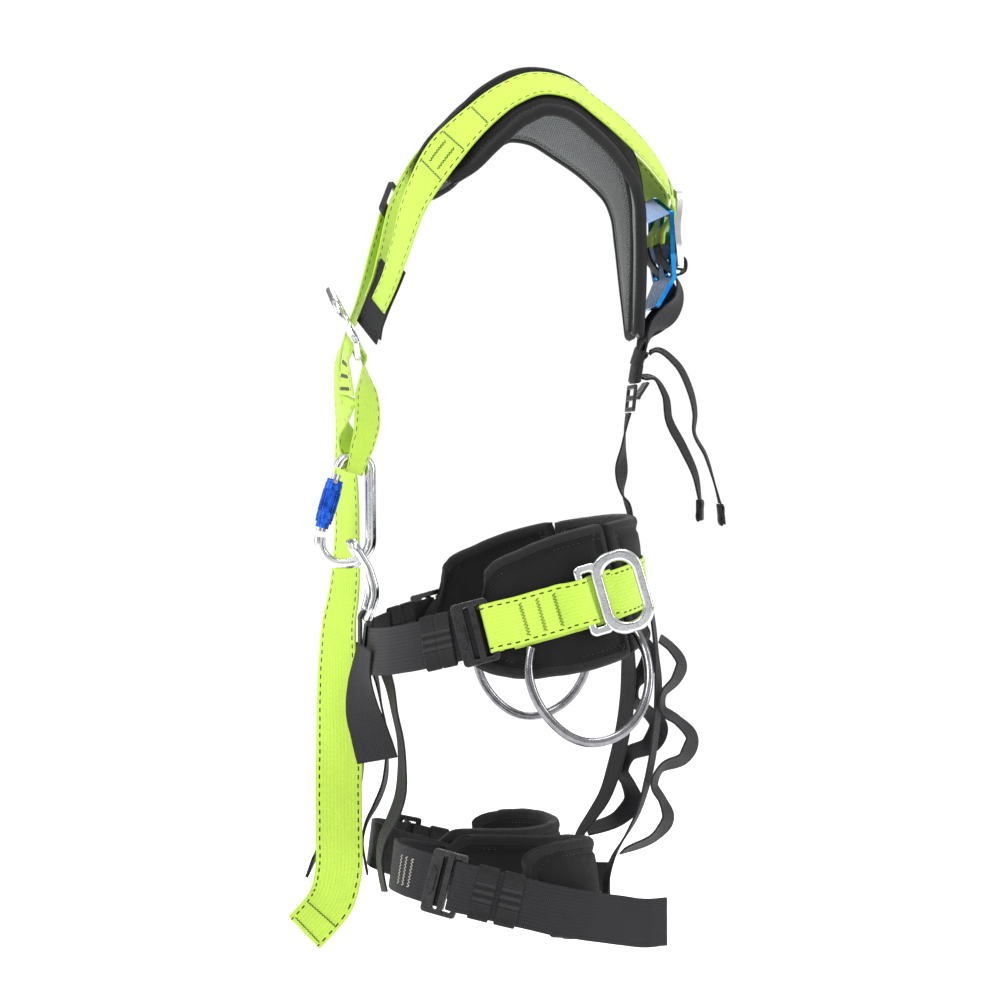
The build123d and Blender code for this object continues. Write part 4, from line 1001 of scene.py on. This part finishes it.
single("belt_webbing_back", [back_webbing_rows()], HI_VIS, "hi_vis_webbing")
single("chest_tail", [CHEST_TAIL], HI_VIS, "hi_vis_webbing", hem=26.0)
tail_route = Route(CHEST_TAIL)
hem_bars = (tail_route.length - 24, tail_route.length - 4)
thread("chest_tail_stitches", bars_across(tail_route, hem_bars, 17, height=1.6, swing=0.5), DARK_THREAD)
single("sternal_strap", [sternal_strap_rows()], HI_VIS, "hi_vis_webbing")
loop_route = Route(sternal_strap_rows())
sewn_end = loop_route.length
thread(
    "sternal_strap_stitches",
    bars_across(loop_route, (sewn_end - 30, sewn_end - 18, sewn_end - 6), 14, swing=1.4)
    + bars_along(loop_route, 34, 64, (0,), swing=0.5),
    DARK_THREAD,
)
sleeves = [webbing(CHEST_SLEEVE_LEFT), mirrored(webbing(CHEST_SLEEVE))]
make("chest_sleeves_webbing", sleeves, [BLACK], ["chest_sleeves"])
# The rear straps lie on one another from their eighth row down
over = BACK_STRAP[:7] + moved(BACK_STRAP[7:], 1.4)
under = mirrored(webbing(BACK_STRAP[:7] + moved(BACK_STRAP[7:], -1.4), nominal=MEDIUM))
single("back_strap_left", [over], BLACK, "black_webbing", nominal=MEDIUM)
make("back_strap_right_webbing", [under], [BLACK], ["back_strap_right"])
single("back_riser", [BACK_RISER], BLACK, "black_webbing", nominal=SLIM)
single("back_tails", [BACK_TAIL_LEFT, BACK_TAIL_RIGHT], BLACK, "black_webbing", nominal=NARROW)
single("dorsal_loop", [DORSAL_LOOP], BLACK, "black_webbing", nominal=SLIM)
single("waist_tails", [WAIST_TAIL_LEFT, WAIST_TAIL_RIGHT], BLACK, "black_webbing", hem=22.0)
single("ventral_loop", [VENTRAL_LOOP], BLACK, "black_webbing", nominal=SLIM)
both("front_risers", FRONT_RISER, BLACK, "black_webbing", nominal=SLIM)
both("rear_risers", REAR_RISER, BLACK, "black_webbing", nominal=SLIM)
both("rear_loops", REAR_LOOPS, BLACK, "black_webbing", nominal=SLIM)


def tail_end(tail):
    """A rear tail's end: the webbing folded back on itself twice."""
    low, above = Vector(tail[-1][:3]), Vector(tail[-2][:3])
    way = (low - above).normalized()
    place = Seat(low + way * 0.4, way, tail[-1][3:6])
    # Along, outward and the turn of the look
    folds = ((0.2, -1.9, -90), (10, -1.9, -90), (19.2, -1.8, -80), (20.6, -0.9, 0), (19.2, 0.0, 90))
    folds += ((8, 0.1, 90), (1.6, 0.2, 100), (0.5, 1.0, 180), (1.6, 1.9, 270), (10, 2.0, 270), (20, 2.0, 270))
    rows = [(*flat(place, x, z, turn, 1)[:6], NARROW + 2) for x, z, turn in folds]
    return webbing(rows, 1.8, NARROW)


folded = [tail_end(BACK_TAIL_LEFT), tail_end(BACK_TAIL_RIGHT)]
make("back_tail_ends_folded", folded, [BLACK], ["back_tail_ends"])

# ---------------------------------------------------------------- keepers

wide_band = sleeve(seat(waist, WAIST_KEEPER, -0.5), (47, 6.4), 30, 1.6, True)
make("waist_keepers_elastic", [wide_band, mirrored(wide_band)], [ELASTIC], ["waist_keepers"])
leg_bands = [sleeve(seat(thigh, angle, 1.1), (47, 7.4), 19) for angle in LEG_KEEPERS]
leg_bands += [mirrored(band) for band in leg_bands]
make("leg_keepers_elastic", leg_bands, [ELASTIC], ["leg_keepers"])
back_bands = []
for i in (8, 9):
    way = Vector(BACK_STRAP[i + 1][:3]) - Vector(BACK_STRAP[i - 1][:3])
    normal = Vector(BACK_STRAP[i][3:6])
    normal = normal - way * (normal.dot(way) / way.dot(way))
    back_bands.append(sleeve(Seat(BACK_STRAP[i][:3], way, normal), (32, 6.6), 17))
make("back_keepers_elastic", back_bands, [ELASTIC], ["back_keepers"])

# ---------------------------------------------------------------- studio

FLOOR, FLOOR_LEVEL = 30, -0.42
EYE_TURN, EYE_DISTANCE, EYE_LEVEL = 82.0, 3.2, 0.107
SEEN_HALF_WIDTH = 0.475  # at the eye's distance
SENSOR = 36.0


def lamp(name, place, size, power):
    light = bpy.data.lights.new(name, "AREA")
    light.shape, light.size, light.size_y = "RECTANGLE", size[0], size[1]
    light.energy = power
    made = bpy.data.objects.new(name, light)
    made.location = place
    made.rotation_euler = (Vector((0, 0, 0.1)) - Vector(place)).to_track_quat("-Z", "Y").to_euler()
    bpy.context.scene.collection.objects.link(made)


floor_mesh = bpy.data.meshes.new("floor")
corners = [(-FLOOR, -FLOOR, 0), (FLOOR, -FLOOR, 0), (FLOOR, FLOOR, 0), (-FLOOR, FLOOR, 0)]
floor_mesh.from_pydata(corners, [], [(0, 1, 2, 3)])
floor = bpy.data.objects.new("floor", floor_mesh)
floor.location.z = FLOOR_LEVEL
bpy.context.scene.collection.objects.link(floor)
pale = Nodes("floor_pale", Specular_IOR_Level=0.1)
pale.colour(pale.mix(pale.noise(0.7, 2.0), (0.84, 0.84, 0.84), (0.86, 0.86, 0.86)))
pale.rough(0.9)
pale.shader.inputs["Emission Color"].default_value = (1.0, 1.0, 1.0, 1.0)
pale.shader.inputs["Emission Strength"].default_value = 0.52
floor_mesh.materials.append(pale.material)

world = bpy.data.worlds.new("studio")
world.use_nodes = True
tree = world.node_tree
back = tree.nodes["Background"]
back.inputs["Strength"].default_value = 1.0


def world_math(kind, a, b):
    node = tree.nodes.new("ShaderNodeMath")
    node.operation = kind
    for value, socket in zip((a, b), node.inputs):
        if isinstance(value, bpy.types.NodeSocket):
            tree.links.new(value, socket)
        else:
            socket.default_value = value
    return node.outputs[0]


# A white backdrop to look at; dark and bright panels round the room for metal to reflect.
look = tree.nodes.new("ShaderNodeTexCoord")
parts = tree.nodes.new("ShaderNodeSeparateXYZ")
tree.links.new(look.outputs["Generated"], parts.inputs[0])
bearing = world_math("ARCTAN2", parts.outputs["Y"], parts.outputs["X"])
panels = world_math("SINE", world_math("MULTIPLY", bearing, 5.0), 0.0)
lift = world_math("MULTIPLY", parts.outputs["Z"], 0.45)
glow = world_math("ADD", world_math("MULTIPLY", panels, 0.30), world_math("ADD", lift, 0.42))
glow = world_math("MAXIMUM", glow, 0.03)
seen = tree.nodes.new("ShaderNodeLightPath").outputs["Is Camera Ray"]
unseen = world_math("SUBTRACT", 1.0, seen)
bright = world_math("ADD", world_math("MULTIPLY", seen, 1.02), world_math("MULTIPLY", unseen, glow))
tree.links.new(bright, back.inputs["Color"])
bpy.context.scene.world = world
bpy.context.scene.view_settings.view_transform = "Standard"

lamp("key", (2.4, -1.9, 2.2), (1.3, 1.3), 44)
lamp("top", (0.3, 0.2, 2.8), (1.6, 1.0), 34)
lamp("rim", (0.9, 2.8, 1.2), (0.7, 1.8), 34)
lamp("far", (-2.6, 0.4, 1.6), (1.2, 1.4), 26)
lamp("front", (-0.4, -2.8, 0.8), (0.8, 1.6), 18)

camera_data = bpy.data.cameras.new("camera")
camera_data.sensor_width, camera_data.lens = SENSOR, SENSOR / 2 / (SEEN_HALF_WIDTH / EYE_DISTANCE)
camera_data.clip_start, camera_data.clip_end = 0.1, 100.0
camera = bpy.data.objects.new("camera", camera_data)
turn = math.radians(EYE_TURN)
camera.location = (EYE_DISTANCE * math.sin(turn), -EYE_DISTANCE * math.cos(turn), EYE_LEVEL)
camera.rotation_euler = (Vector((0, 0, EYE_LEVEL)) - camera.location).to_track_quat("-Z", "Y").to_euler()
bpy.context.scene.collection.objects.link(camera)
bpy.context.scene.camera = camera
